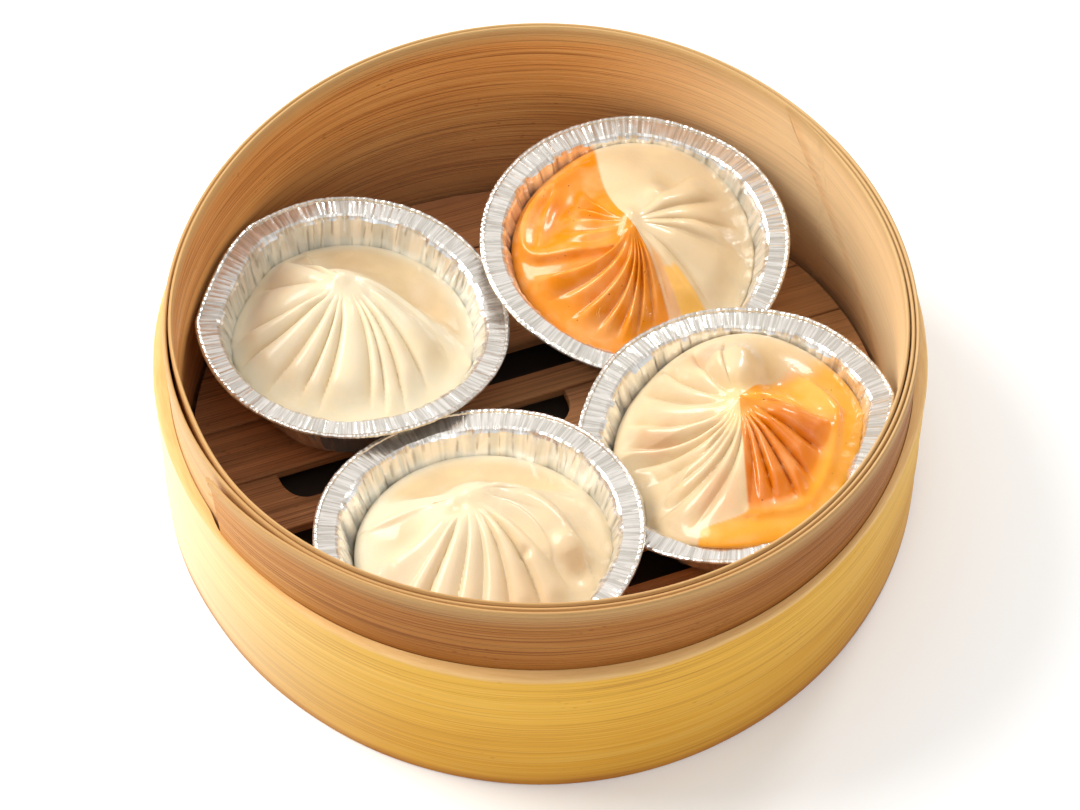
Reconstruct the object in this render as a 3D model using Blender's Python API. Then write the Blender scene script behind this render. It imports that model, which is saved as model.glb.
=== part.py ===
"""Four soup dumplings in foil cups, packed in a round bamboo steamer basket.

The basket stands on Z = 0 with its middle on the origin. A long bamboo strip is wound into
the collar, a thick band is bound round the collar's lower half, and slotted boards on a ring
make the floor. Four foil cups stand on the boards with their rims lapped over one another, and
each holds one pleated dumpling. All sizes are in metres.
"""

import math

import bmesh
import bpy
from mathutils import Matrix, Vector

GAP = 0.0003  # left between pieces that rest on or beside one another

# Basket
COLLAR_RADIUS = 0.0998  # outside of the wound strip at its outer end
COLLAR_HEIGHT = 0.0660
STRIP_THICK = 0.0010
STRIP_PITCH = STRIP_THICK + GAP
STRIP_OUTER_END = math.radians(217)
STRIP_TURNS = 2.49
STRIP_STEPS = 130
STRIP_ROWS = 2
BAND_RADIUS = 0.1031
BAND_HEIGHT = 0.0444
BAND_STEPS = 72
# The basket is bent by hand: a little oval and a little three-cornered. Each pair is the share
# by which it is longer from front to back, and the share by which it is three-cornered. The
# collar also sits a little forward in its band.
BAND_BEND = (0.0155, -0.0130)
COLLAR_FOOT_BEND = (0.0145, -0.0180)
COLLAR_TOP_BEND = (0.0245, 0.0100)
COLLAR_FORWARD = 0.0005
SHIFT_BACK = 0.00134  # of everything, to bring the middle of the bent basket to the origin

# Floor
RING_HEIGHT = 0.0065
RING_THICK = 0.0040
RING_STEPS = 48
BOARD_THICK = 0.0030
BOARD_PITCH = 0.0193
BOARD_JOINT = 0.0006
BOARD_TURN = math.radians(21)
BOARD_FIRST_EDGE = -0.1025
BOARD_COUNT = 10
SLOT_WIDTH = 0.0105
FLOOR_TOP = RING_HEIGHT + GAP + BOARD_THICK
# Each slot is cut into the top edge of one board, between two places along the boards.
SLOTS = (
    (2, -0.048, 0.017),
    (3, -0.030, 0.062),
    (4, -0.086, -0.020),
    (5, -0.080, -0.030),
    (5, 0.034, 0.085),
    (6, -0.070, 0.012),
    (6, 0.040, 0.080),
    (7, -0.052, 0.030),
)

# Foil cups
CUP_RADIUS = 0.0421
CUP_HEIGHT = 0.0241
CUP_BASE_RADIUS = 0.0290
CUP_STEPS = 40
FLUTE_DEPTH = 0.00025
WALL_TOP_RADIUS = 0.0358
LAP_CLEARANCE = 0.0010  # between a pressed-in rim and the wall of the cup above it
LAP_DROP = 0.0040
LAP_LIFT = 0.0008
LAP_SPREAD = math.radians(78)
WALL_CLEARANCE = 0.0006  # between a rim and the collar that it leans on

# Each cup: the middle of its rim, how far it leans up to the right and to the back, in
# degrees, and the cup that lies over it.
CUPS = {
    1: {"rim_middle": (-0.0498, 0.0202), "lean": (-3.0, 2.0), "under": 2},
    2: {"rim_middle": (0.0257, 0.0464), "lean": (0.0, 7.0), "under": 4},
    3: {"rim_middle": (-0.0155, -0.0509), "lean": (0.0, -1.0), "under": 1},
    4: {"rim_middle": (0.0512, -0.0209), "lean": (4.5, 1.0), "under": 3},
}

# Dumplings
DUMPLING_BASE_RADIUS = 0.0269
DUMPLING_BASE = 0.0008  # above the underside of its cup
PLEATS = 16
STEPS_PER_PLEAT = 3

# Each dumpling: where its knot is, how high, how its lip swells, how deep its pleats are and
# how far they are twisted round. Each lobe of its lip has a bearing and a spread in degrees,
# and how far the lip reaches out and up there.
DUMPLINGS = {
    1: {"knot": (-0.0040, 0.0070, 0.0300), "lip": 0.0320, "lip_height": 0.0150,
        "pleat": 0.0016, "twist": 0.45, "lobes": ()},
    2: {"knot": (-0.0012, 0.0010, 0.0295), "lip": 0.0320, "lip_height": 0.0155,
        "pleat": 0.0015, "twist": -0.40, "lobes": ((80, 95, 0.0025, 0.0065),)},
    3: {"knot": (-0.0030, 0.0050, 0.0295), "lip": 0.0320, "lip_height": 0.0150,
        "pleat": 0.0016, "twist": 0.30,
        "lobes": ((-15, 75, 0.0014, 0.0030), (180, 80, -0.0014, 0.0))},
    4: {"knot": (0.0008, 0.0050, 0.0315), "lip": 0.0322, "lip_height": 0.0175,
        "pleat": 0.0018, "twist": 0.35,
        "lobes": ((-100, 70, 0.0042, 0.0080), (80, 70, 0.0014, 0.0050))},
}


def clear_scene():
    for old in list(bpy.data.objects):
        bpy.data.objects.remove(old, do_unlink=True)


def make_material(name, colour, roughness, metallic=0.0):
    material = bpy.data.materials.new(name)
    material.use_nodes = True
    shader = material.node_tree.nodes["Principled BSDF"]
    shader.inputs["Base Color"].default_value = (*colour, 1.0)
    shader.inputs["Roughness"].default_value = roughness
    shader.inputs["Metallic"].default_value = metallic
    return material


def add_object(name, mesh_maker, material, turn_faces_out=True):
    """Turns a bmesh into an object of its own, shaded smooth up to 40 degrees."""
    if turn_faces_out:
        bmesh.ops.recalc_face_normals(mesh_maker, faces=mesh_maker.faces[:])
    mesh = bpy.data.meshes.new(name)
    mesh_maker.to_mesh(mesh)
    mesh_maker.free()
    mesh.materials.append(material)
    mesh.shade_smooth()
    mesh.set_sharp_from_angle(angle=math.radians(40))
    thing = bpy.data.objects.new(name, mesh)
    bpy.context.scene.collection.objects.link(thing)
    return thing


def lathe(profile, steps, closed):
    """Spins a list of (radius, height) about Z. A closed profile makes a ring."""
    shape = bmesh.new()
    corners = [shape.verts.new((radius, 0.0, height)) for radius, height in profile]
    ends = zip(corners, corners[1:] + corners[:1] if closed else corners[1:])
    edges = [shape.edges.new(pair) for pair in ends]
    bmesh.ops.spin(shape, geom=corners + edges, cent=(0, 0, 0), axis=(0, 0, 1), dvec=(0, 0, 0),
                   angle=math.tau, steps=steps, use_merge=True, use_duplicate=False)
    bmesh.ops.remove_doubles(shape, verts=shape.verts[:], dist=1e-6)
    return shape


def bent_share(angle, bend):
    """How much longer a hand-bent ring's radius is at an angle than a round one's."""
    oval, corners = bend
    return 1 - oval * math.cos(2 * angle) - corners * math.sin(3 * angle)


def collar_bent(angle, radius, height):
    """The collar's radius at an angle: its foot is held by the band and its top is free."""
    foot, top = bent_share(angle, COLLAR_FOOT_BEND), bent_share(angle, COLLAR_TOP_BEND)
    return radius * (foot + (top - foot) * height / COLLAR_HEIGHT)


def collar_place(angle, radius, height):
    """A point at an angle and a radius of the hand-bent collar."""
    bent = collar_bent(angle, radius, height)
    return Vector((bent * math.cos(angle), bent * math.sin(angle) - COLLAR_FORWARD, height))


def bend_to_collar(corner):
    """Moves a point of a round ring to where the collar's outline puts it."""
    angle, radius = math.atan2(corner.co.y, corner.co.x), corner.co.xy.length
    corner.co = collar_place(angle, radius, corner.co.z)


def collar_room():
    """The radius, before bending, that everything inside the collar keeps within."""
    return COLLAR_RADIUS - STRIP_PITCH * STRIP_TURNS - STRIP_THICK - GAP


def make_collar(bamboo):
    """One long strip, stood on edge and wound inwards from its outer end."""
    strip = bmesh.new()
    bmesh.ops.create_grid(strip, x_segments=STRIP_STEPS, y_segments=STRIP_ROWS, size=1.0)
    for corner in strip.verts:
        corner.co = Vector(((corner.co.x + 1) / 2, 0.0, (corner.co.y + 1) / 2))
    made = bmesh.ops.extrude_face_region(strip, geom=strip.faces[:])["geom"]
    back = [item for item in made if isinstance(item, bmesh.types.BMVert)]
    bmesh.ops.translate(strip, verts=back, vec=(0, 1, 0))
    bmesh.ops.recalc_face_normals(strip, faces=strip.faces[:])
    for corner in strip.verts:
        turns, depth, height = corner.co.x * STRIP_TURNS, corner.co.y, corner.co.z
        angle = STRIP_OUTER_END + math.tau * turns
        radius = COLLAR_RADIUS - STRIP_PITCH * turns - STRIP_THICK * depth
        corner.co = collar_place(angle, radius, COLLAR_HEIGHT * height)
    return add_object("collar_strip", strip, bamboo, turn_faces_out=False)


def make_band(bamboo_skin):
    """The thick band bound round the collar's lower half. Its top edge is the ledge."""
    inner, outer = COLLAR_RADIUS + GAP, BAND_RADIUS
    ring = lathe([(inner, BAND_HEIGHT), (inner, 0.0), (outer, 0.0), (outer, BAND_HEIGHT)],
                 BAND_STEPS, closed=True)
    for corner in ring.verts:
        if corner.co.xy.length < (inner + outer) / 2:
            bend_to_collar(corner)
        else:
            corner.co.xy *= bent_share(math.atan2(corner.co.y, corner.co.x), BAND_BEND)
    return add_object("outer_band", ring, bamboo_skin)


def make_floor_ring(bamboo):
    outer = collar_room()
    inner = outer - RING_THICK
    ring = lathe([(inner, RING_HEIGHT), (inner, 0.0), (outer, 0.0), (outer, RING_HEIGHT)],
                 RING_STEPS, closed=True)
    for corner in ring.verts:
        bend_to_collar(corner)
    return add_object("floor_ring", ring, bamboo)


def board_end(across, side):
    """How far along the boards the collar lets one reach, to the right (1) or left (-1)."""
    along = side * collar_room()
    for _ in range(8):
        angle = math.atan2(across, along) + BOARD_TURN
        radius = collar_bent(angle, collar_room() - GAP, RING_HEIGHT + BOARD_THICK)
        along = side * math.sqrt(max(radius ** 2 - across ** 2, 0.0))
    return along


def rounded_notch(start, end, top):
    """The outline of a slot cut down into a board's top edge, from its left end to its right."""
    corner, bottom = SLOT_WIDTH * 0.62, top - SLOT_WIDTH
    points = [(start, top)]
    for step in range(4):
        turn = math.radians(180 + 30 * step)
        points.append((start + corner + corner * math.cos(turn),
                       bottom + SLOT_WIDTH * 0.8 + SLOT_WIDTH * 0.8 * math.sin(turn)))
    for step in range(4):
        turn = math.radians(270 + 30 * step)
        points.append((end - corner + corner * math.cos(turn),
                       bottom + SLOT_WIDTH * 0.8 + SLOT_WIDTH * 0.8 * math.sin(turn)))
    points.append((end, top))
    return points


def board_outline(number):
    """Points round one floor board, counter-clockwise, in the boards' own directions."""
    first = BOARD_FIRST_EDGE + BOARD_PITCH * (number - 1)
    low, high = first + BOARD_JOINT / 2, first + BOARD_PITCH - BOARD_JOINT / 2
    low = max(low, -collar_room() * 0.985)
    levels = [low + (high - low) * step / 4 for step in range(5)]
    right = [(board_end(across, 1), across) for across in levels]
    left = [(board_end(across, -1), across) for across in reversed(levels)]
    slots = [rounded_notch(start, end, high) for board, start, end in SLOTS if board == number]
    cuts = [point for slot in sorted(slots, reverse=True) for point in reversed(slot)]
    return right + cuts + left


def make_boards(bamboo):
    bottom = RING_HEIGHT + GAP
    for number in range(1, BOARD_COUNT + 1):
        board = bmesh.new()
        corners = [board.verts.new((along, across, bottom))
                   for along, across in board_outline(number)]
        face = board.faces.new(corners)
        made = bmesh.ops.extrude_face_region(board, geom=[face])["geom"]
        top = [item for item in made if isinstance(item, bmesh.types.BMVert)]
        bmesh.ops.translate(board, verts=top, vec=(0, 0, BOARD_THICK))
        bmesh.ops.rotate(board, verts=board.verts[:], cent=(0, 0, 0),
                         matrix=Matrix.Rotation(BOARD_TURN, 3, "Z"))
        bmesh.ops.translate(board, verts=board.verts[:], vec=(0, -COLLAR_FORWARD, 0))
        bmesh.ops.remove_doubles(board, verts=board.verts[:], dist=1e-6)
        add_object(f"floor_board_{number}", board, bamboo)


def cup_turn(number):
    """The rotation that leans a cup up to the right and to the back."""
    right_up, back_up = (math.radians(value) for value in CUPS[number]["lean"])
    return Matrix.Rotation(back_up, 4, "X") @ Matrix.Rotation(-right_up, 4, "Y")


def cup_place(number):
    """Where a cup stands: its lowest base edge is on the boards and its rim on its middle."""
    turn = cup_turn(number)
    up = turn @ Vector((0, 0, 1))
    edge_drop = CUP_BASE_RADIUS * math.sqrt(max(1 - up.z ** 2, 0.0))
    rise = turn @ Vector((0, 0, CUP_HEIGHT))
    x, y = CUPS[number]["rim_middle"]
    return Matrix.Translation((x - rise.x, y - rise.y, FLOOR_TOP + GAP + edge_drop)) @ turn


def direction_to(number, other):
    """The distance and the angle from one cup's rim middle to another's."""
    here, there = Vector(CUPS[number]["rim_middle"]), Vector(CUPS[other]["rim_middle"])
    step = there - here
    return step.length, math.atan2(step.y, step.x)


def wrapped(angle):
    return (angle + math.pi) % math.tau - math.pi


def nearness(angle, middle, spread):
    """1 at the middle of a stretch of a rim, falling smoothly to 0 at its ends."""
    away = abs(wrapped(angle - middle))
    return math.cos(away / spread * math.pi / 2) ** 2 if away < spread else 0.0


def pressed_by_collar(number, angle):
    """How far a cup's rim is pushed in where it leans on the collar."""
    middle = Vector(CUPS[number]["rim_middle"]) + Vector((0.0, COLLAR_FORWARD))
    outward = Vector((math.cos(angle), math.sin(angle)))
    reached = middle + CUP_RADIUS * outward
    bearing = math.atan2(reached.y, reached.x)
    limit = collar_bent(bearing, collar_room(), FLOOR_TOP + CUP_HEIGHT) - WALL_CLEARANCE
    along = middle.dot(outward)
    room = math.sqrt(limit ** 2 + along ** 2 - middle.length_squared) - along
    return max(CUP_RADIUS - room, 0.0)


def pressed_by_cup(number, angle):
    """How far a cup's rim is pushed in where another cup's wall comes down beside it."""
    distance, towards = direction_to(number, CUPS[number]["under"])
    away = wrapped(angle - towards)
    keep = WALL_TOP_RADIUS + FLUTE_DEPTH + LAP_CLEARANCE
    inside = keep ** 2 - (distance * math.sin(away)) ** 2
    if abs(away) > math.pi / 2 or inside <= 0:
        return 0.0
    room = distance * math.cos(away) - math.sqrt(inside)
    return max(CUP_RADIUS - room, 0.0)


def rim_rise(number, angle):
    """How far a cup's rim is lifted over its lower neighbour or pressed under its upper one."""
    lower = next(other for other in CUPS if CUPS[other]["under"] == number)
    _, over = direction_to(number, lower)
    _, under = direction_to(number, CUPS[number]["under"])
    return (LAP_LIFT * nearness(angle, over, LAP_SPREAD)
            - LAP_DROP * nearness(angle, under, LAP_SPREAD))


def settle(number, corner):
    """Bends a point of a cup, or of what lies in it, to the way its rim is pushed about."""
    angle = math.atan2(corner.co.y, corner.co.x)
    level = max(corner.co.z / CUP_HEIGHT, 0.0)
    radius = math.hypot(corner.co.x, corner.co.y)
    spread = min(radius / CUP_BASE_RADIUS, 1.0)
    pressed = max(pressed_by_cup(number, angle), pressed_by_collar(number, angle))
    radius -= pressed * min(level, 1.0) * spread
    corner.co = Vector((radius * math.cos(angle), radius * math.sin(angle),
                        corner.co.z + rim_rise(number, angle) * min(level, 1.0) ** 2 * spread))


def cup_profile():
    """The section of a cup: up its outside from the middle, over the rim and down inside."""
    top = CUP_HEIGHT
    return [
        (0.0, 0.0),
        (CUP_BASE_RADIUS, 0.0),
        (CUP_BASE_RADIUS + 0.0008, 0.0008),
        (WALL_TOP_RADIUS, top - 0.0033),
        (CUP_RADIUS - 0.0010, top - 0.0016),
        (CUP_RADIUS, top - 0.0010),
        (CUP_RADIUS - 0.0005, top),
        (CUP_RADIUS - 0.0013, top - 0.0007),
        (WALL_TOP_RADIUS + 0.0008, top - 0.0012),
        (WALL_TOP_RADIUS - 0.0005, top - 0.0027),
        (CUP_BASE_RADIUS - 0.0001, 0.0005),
        (0.0, 0.0005),
    ]


def make_cup(number, foil):
    cup = lathe(cup_profile(), CUP_STEPS, closed=False)
    for corner in cup.verts:
        radius = math.hypot(corner.co.x, corner.co.y)
        if CUP_BASE_RADIUS < radius < CUP_RADIUS - 0.0015:
            angle = math.atan2(corner.co.y, corner.co.x)
            flute = FLUTE_DEPTH * math.cos(angle * CUP_STEPS / 2)
            corner.co.x += flute * math.cos(angle)
            corner.co.y += flute * math.sin(angle)
        settle(number, corner)
    thing = add_object(f"foil_cup_{number}", cup, foil)
    thing.matrix_world = cup_place(number)


def dome(share):
    """Height of the dough from lip to knot: a broad crown drawn up to a peak."""
    crown = (1 - share ** 2) ** 0.85
    peak = math.exp(-(share / 0.16) ** 2)
    return 0.78 * crown + 0.22 * peak


def ridge(turns):
    """One pleat's section, from 0 to 1: it rises fast and slopes off slowly."""
    place = turns % 1.0
    return place / 0.35 if place < 0.35 else (1 - place) / 0.65


# The rows of the dumpling: share of the way from knot to lip on top, then the underside as
# negative numbers, from just below the lip to the base.
TOP_ROWS = (0.0, 0.09, 0.24, 0.44, 0.66, 0.86, 1.0)
UNDER_ROWS = (0.45, 1.0)


def dumpling_point(plan, row, angle):
    """A point of the dumpling for a row and an angle round the knot, before it settles."""
    knot = Vector(plan["knot"])
    lip, lip_height = plan["lip"], plan["lip_height"]
    for bearing, spread, outward, upward in plan["lobes"]:
        lobe = nearness(angle, math.radians(bearing), math.radians(spread))
        lip, lip_height = lip + outward * lobe, lip_height + upward * lobe
    if row >= len(TOP_ROWS):
        share = UNDER_ROWS[row - len(TOP_ROWS)]
        wall = DUMPLING_BASE_RADIUS + (plan["lip"] - DUMPLING_BASE_RADIUS) * (1 - share) ** 0.8
        wall -= 0.0004
        height = DUMPLING_BASE + (plan["lip_height"] - DUMPLING_BASE) * (1 - share)
        return Vector((wall * math.cos(angle), wall * math.sin(angle), height))
    share = TOP_ROWS[row]
    turned = angle + plan["twist"] * (1 - share) ** 2
    edge = Vector((lip * math.cos(angle), lip * math.sin(angle), 0.0))
    inner = Vector((lip * math.cos(turned), lip * math.sin(turned), 0.0))
    place = edge.lerp(inner, 1 - share) * share + Vector((knot.x, knot.y, 0)) * (1 - share)
    pleat = ridge(angle / math.tau * PLEATS) * math.sin(math.pi * min(share * 1.02, 1.0)) ** 0.7
    height = lip_height + (knot.z - lip_height) * dome(share) + plan["pleat"] * pleat
    return Vector((place.x, place.y, height))


def make_dumpling(number, dough):
    plan = DUMPLINGS[number]
    rows = len(TOP_ROWS) + len(UNDER_ROWS)
    blank = [(0.0 if row in (0, rows) else 1.0, -float(row)) for row in range(rows + 1)]
    body = lathe(blank, PLEATS * STEPS_PER_PLEAT, closed=False)
    for corner in body.verts:
        row = round(-corner.co.z)
        if row == rows:
            corner.co = Vector((0.0, 0.0, DUMPLING_BASE))
            continue
        angle = math.atan2(corner.co.y, corner.co.x)
        corner.co = dumpling_point(plan, row, angle)
        settle(number, corner)
    thing = add_object(f"dumpling_{number}", body, dough)
    thing.matrix_world = cup_place(number)


def main():
    clear_scene()
    collar_wood = make_material("collar_bamboo", (0.42, 0.21, 0.08), 0.55)
    band_wood = make_material("band_bamboo", (0.76, 0.47, 0.12), 0.40)
    floor_wood = make_material("floor_bamboo", (0.24, 0.12, 0.06), 0.60)
    foil = make_material("foil", (0.85, 0.85, 0.86), 0.28, 1.0)
    cream = make_material("cream_dough", (0.85, 0.72, 0.48), 0.35)
    orange = make_material("orange_dough", (0.85, 0.34, 0.03), 0.30)
    make_collar(collar_wood)
    make_band(band_wood)
    make_floor_ring(floor_wood)
    make_boards(floor_wood)
    for number in CUPS:
        make_cup(number, foil)
        make_dumpling(number, orange if number in (2, 4) else cream)
    for thing in bpy.data.objects:
        thing.matrix_world = Matrix.Translation((0, SHIFT_BACK, 0)) @ thing.matrix_world


main()
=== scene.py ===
"""Dresses a round steamer basket with four soup dumplings in foil cups.

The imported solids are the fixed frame. Each visible piece is made again here in finer form: the
wound bamboo collar, the band, the slotted floor, the crimped foil and the pleated dough. It is
laid out as an add-on and run as a script. All sizes are in metres.
"""

import math

import bmesh
import bpy
import numpy as np
from mathutils import Matrix, Vector


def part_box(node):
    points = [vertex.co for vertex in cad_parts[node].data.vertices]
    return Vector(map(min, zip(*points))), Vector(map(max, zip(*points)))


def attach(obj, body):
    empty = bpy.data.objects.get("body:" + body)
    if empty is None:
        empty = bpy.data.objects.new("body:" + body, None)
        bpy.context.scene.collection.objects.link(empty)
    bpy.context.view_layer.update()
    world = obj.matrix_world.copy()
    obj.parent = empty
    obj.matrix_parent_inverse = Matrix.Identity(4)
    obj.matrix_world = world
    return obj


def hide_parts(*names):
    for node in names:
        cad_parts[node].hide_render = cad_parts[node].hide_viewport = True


bl_info = {
    "name": "Soup dumplings in a steamer basket",
    "version": (1, 0, 0),
    "blender": (4, 5, 0),
    "location": "View3D > Sidebar > Steamer",
    "description": "Makes a bamboo steamer basket with pleated dumplings in foil cups",
    "category": "Object",
}

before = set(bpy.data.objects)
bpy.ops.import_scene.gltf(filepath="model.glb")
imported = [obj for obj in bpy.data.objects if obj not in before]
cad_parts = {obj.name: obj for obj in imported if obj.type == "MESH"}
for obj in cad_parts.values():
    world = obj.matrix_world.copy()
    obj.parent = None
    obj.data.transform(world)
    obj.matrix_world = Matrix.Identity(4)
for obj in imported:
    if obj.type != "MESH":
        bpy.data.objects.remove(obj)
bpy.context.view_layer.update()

GAP = 0.0003
COLLAR_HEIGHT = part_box("collar_strip")[1].z
BAND_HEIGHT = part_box("outer_band")[1].z
FLOOR_BOTTOM, FLOOR_TOP = (corner.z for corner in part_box("floor_board_5"))

# The hand-bent basket: each pair is the share by which a ring is longer from front to back,
# and the share by which it is three-cornered.
COLLAR_RADIUS = 0.0998
STRIP_PITCH = 0.0013
STRIP_OUTER_END = math.radians(217)
SPLIT_BEARING = 203
BAND_RADIUS = 0.1031
BAND_BEND = (0.0155, -0.0130)
COLLAR_FOOT_BEND = (0.0145, -0.0180)
COLLAR_TOP_BEND = (0.0245, 0.0100)
COLLAR_FORWARD = 0.0005
SHIFT_BACK = 0.00134

# Floor boards, in their own directions: along them and across them.
BOARD_PITCH = 0.0193
BOARD_JOINT = 0.0006
BOARD_TURN = math.radians(21)
BOARD_FIRST_EDGE = -0.1025
BOARD_COUNT = 10
SLOT_WIDTH = 0.0105
SLOTS = (
    (2, -0.048, 0.017),
    (3, -0.030, 0.062),
    (4, -0.086, -0.020),
    (5, -0.080, -0.030),
    (5, 0.034, 0.085),
    (6, -0.070, 0.012),
    (6, 0.040, 0.080),
    (7, -0.052, 0.030),
)

# The table, and where the lights and the camera look
TABLE_RADIUS = 3.0
# Radius of the painted shadow on the table under the basket
PAINTED_SHADOW_RADIUS = 0.090
LIGHTS_AIM = (0.0, 0.0, 0.03)
CAMERA_AIM = (0.0, SHIFT_BACK - 0.0118, 0.036)

# Foil cups
CUP_RADIUS = 0.0421
CUP_HEIGHT = 0.0241
CUP_BASE_RADIUS = 0.0290
WALL_TOP_RADIUS = 0.0358
WALL_SETBACK = 0.00055
RIM_WAVE = 0.00035
BASE_DENT = 0.0004
LAP_CLEARANCE = 0.0010
LAP_DROP = 0.0040
LAP_LIFT = 0.0008
LAP_SPREAD = math.radians(78)
WALL_CLEARANCE = 0.0006
CUPS = {
    1: {"rim_middle": (-0.0498, 0.0202), "lean": (-3.0, 2.0), "under": 2},
    2: {"rim_middle": (0.0257, 0.0464), "lean": (0.0, 7.0), "under": 4},
    3: {"rim_middle": (-0.0155, -0.0509), "lean": (0.0, -1.0), "under": 1},
    4: {"rim_middle": (0.0512, -0.0209), "lean": (4.5, 1.0), "under": 3},
}

# Each dumpling, in its cup's own directions. A lobe of the lip has a bearing and a spread in
# degrees, then how far the lip reaches out and up there. Behind its knot the dough falls away:
# that hollow has its bearings near the knot and at the lip on one side, then the same on the
# other side, its share and how soft its sides are. hub is the height of the bump on the knot.
# A fan of pleats has the bearings of its valleys at the lip, how many degrees the valleys curl
# on their way in from the first one to the last, the pleats' depth, how far out they reach and
# how pinched they are. A fold is a path of bearings and shares of the way out from the knot,
# with its height and how wide it is on its gentle side, to the left of the way out if that
# width is positive. A swell is a place of that kind with its height, its size and how crisp its
# edge is. Coloured dough lies between two bearings, whose lines curl on their way in; it ends
# in a paler strip and a golden patch, or spills golden over the lip. shaded is the side whose
# dough gets painted shade, and thin says how far the filling shows through.
DUMPLING_BASE_RADIUS = 0.0269
DUMPLING_BASE = 0.0008
DOUGH_WOBBLE = 0.00030
KNOT_SIZE = 0.0027
LIP_START = 0.91
LIP_RADIUS = 0.0330
LIP_ROLL = 0.0015
DUMPLINGS = {
    1: {
        "knot": (-0.0040, 0.0070, 0.0300), "lip_height": 0.0148,
        "lobes": (), "hollow": (44, -18, 122, 130, 0.95, 8), "seed": 11, "hub": 0.0016,
        "fans": (
            ((115, 128, 154, 189, 204, 225, 242, 254, 280, 288, 298, 313, 343),
             (12, 14, 22, 24, 34, 40), 0.0026, 0.97, 0.0),
        ),
        "folds": (
            (((392, 0.14), (384, 0.32), (374, 0.55), (360, 0.78), (350, 0.95)), 0.0017, -0.0060),
            (((352, 0.24), (348, 0.48), (340, 0.72)), 0.0012, -0.0040),
            (((119, 0.20), (121, 0.50), (118, 0.80)), 0.0016, -0.0040),
        ),
        "swells": ((337, 0.78, -0.0008, 0.0060, 2), (270, 0.97, 0.0006, 0.0120, 2),
                   (152, 0.86, -0.0008, 0.0070, 2)),
        "coloured": None, "shaded": None, "thin": 0.05,
    },
    2: {
        "knot": (-0.0012, 0.0010, 0.0298), "lip_height": 0.0155,
        "lobes": ((80, 95, 0.0025, 0.0060), (172, 60, 0.0006, 0.0030)),
        "hollow": (80, 80, 160, 160, 0.35, 38), "seed": 23, "hub": 0.0006,
        "fans": (
            ((122, 137, 151, 168, 196), (24, 20, 30), 0.0026, 0.64, 0.9),
            ((196, 213, 229, 244, 257, 269, 281, 293), (60, 50, 50, 22, 17), 0.0027, 0.90, 0.7),
            ((293, 316, 355, 372, 390, 412), (26, 24, 16, 12, 10), 0.0016, 0.88, 0.2),
        ),
        "folds": (
            (((226, 0.28), (212, 0.40), (203, 0.52), (197, 0.68), (192, 0.84), (184, 0.93),
              (170, 0.955), (154, 0.95), (138, 0.93), (122, 0.90)), 0.0024, -0.0028),
            (((136, 0.90), (143, 0.82), (157, 0.79), (172, 0.77), (187, 0.80)), 0.0011, 0.0022),
            (((372, 0.40), (373, 0.58), (362, 0.74), (355, 0.90)), 0.0012, -0.0040),
        ),
        "swells": ((262, 0.10, 0.0011, 0.0020, 2), (100, 0.10, 0.0011, 0.0024, 2),
                   (150, 0.66, -0.0015, 0.0050, 2), (168, 0.66, -0.0013, 0.0045, 2),
                   (64, 0.44, 0.0012, 0.0030, 2), (62, 0.62, -0.0012, 0.0045, 2),
                   (110, 0.86, 0.0010, 0.0080, 2)),
        "coloured": {"between": (108, 293), "curl": 17, "spills": False},
        "shaded": None, "thin": 0.05,
    },
    3: {
        "knot": (-0.0030, 0.0050, 0.0298), "lip_height": 0.0150,
        "lobes": ((-15, 75, 0.0014, 0.0030), (180, 80, -0.0010, 0.0)),
        "hollow": (56, 26, 136, 150, 0.88, 9), "seed": 37, "hub": 0.0002,
        "fans": (
            ((227, 239, 256, 270, 286, 303, 321), (4, 14, 26, 30, 28), 0.0026, 1.00, 0.1),
            ((349, 372, 392), (34, 30, 24), 0.0011, 0.62, 0.0),
        ),
        "folds": (
            (((412, 0.26), (392, 0.42), (378, 0.55), (361, 0.66), (348, 0.77), (343, 0.84)),
             0.0024, -0.0056),
            (((366, 0.24), (356, 0.42), (340, 0.58), (331, 0.66)), 0.0012, -0.0034),
            (((166, 0.34), (168, 0.56), (172, 0.84)), 0.0011, -0.0040),
            (((216, 0.24), (214, 0.50), (208, 0.70)), 0.0012, 0.0030),
        ),
        "swells": ((208, 0.12, -0.0013, 0.0026, 2), (86, 0.27, 0.0026, 0.0078, 4),
                   (188, 0.60, -0.0026, 0.0056, 2), (212, 0.72, 0.0014, 0.0050, 2),
                   (342, 0.76, 0.0018, 0.0042, 3), (334, 0.88, -0.0016, 0.0030, 2),
                   (317, 0.54, -0.0012, 0.0014, 2)),
        "coloured": None, "shaded": "right", "thin": 0.05,
    },
    4: {
        "knot": (0.0008, 0.0050, 0.0315), "lip_height": 0.0172,
        "lobes": ((-100, 70, 0.0042, 0.0080), (80, 70, 0.0016, 0.0055),
                  (14, 55, 0.0013, 0.0020)),
        "hollow": (20, 20, 76, 76, 0.70, 30), "seed": 53, "hub": 0.0007,
        "fans": (
            ((92, 110, 127, 143, 162, 177, 190, 204, 215, 228, 246, 272),
             (24, 30, 40, 60, 60, 50, 6), 0.0024, 0.95, 0.3),
            ((277, 287, 301, 317, 338, 361), (8, 6, 4, 4, 10), 0.0030, 0.86, 0.0),
        ),
        "folds": (
            (((372, 0.22), (368, 0.34), (362, 0.48)), 0.0014, 0.0022),
            (((388, 0.16), (384, 0.28), (376, 0.38)), 0.0014, -0.0022),
            (((276, 0.90), (300, 0.91), (330, 0.92), (356, 0.88), (378, 0.80), (398, 0.72)),
             0.0013, 0.0036),
        ),
        "swells": ((92, 0.40, 0.0044, 0.0070, 4), (82, 0.64, 0.0028, 0.0060, 2),
                   (118, 0.48, 0.0016, 0.0042, 2), (52, 0.42, -0.0014, 0.0050, 2),
                   (345, 0.70, -0.0010, 0.0050, 2)),
        "coloured": {"between": (273, 414), "curl": 0, "spills": True},
        "shaded": "front", "thin": 0.32,
    },
}


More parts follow.
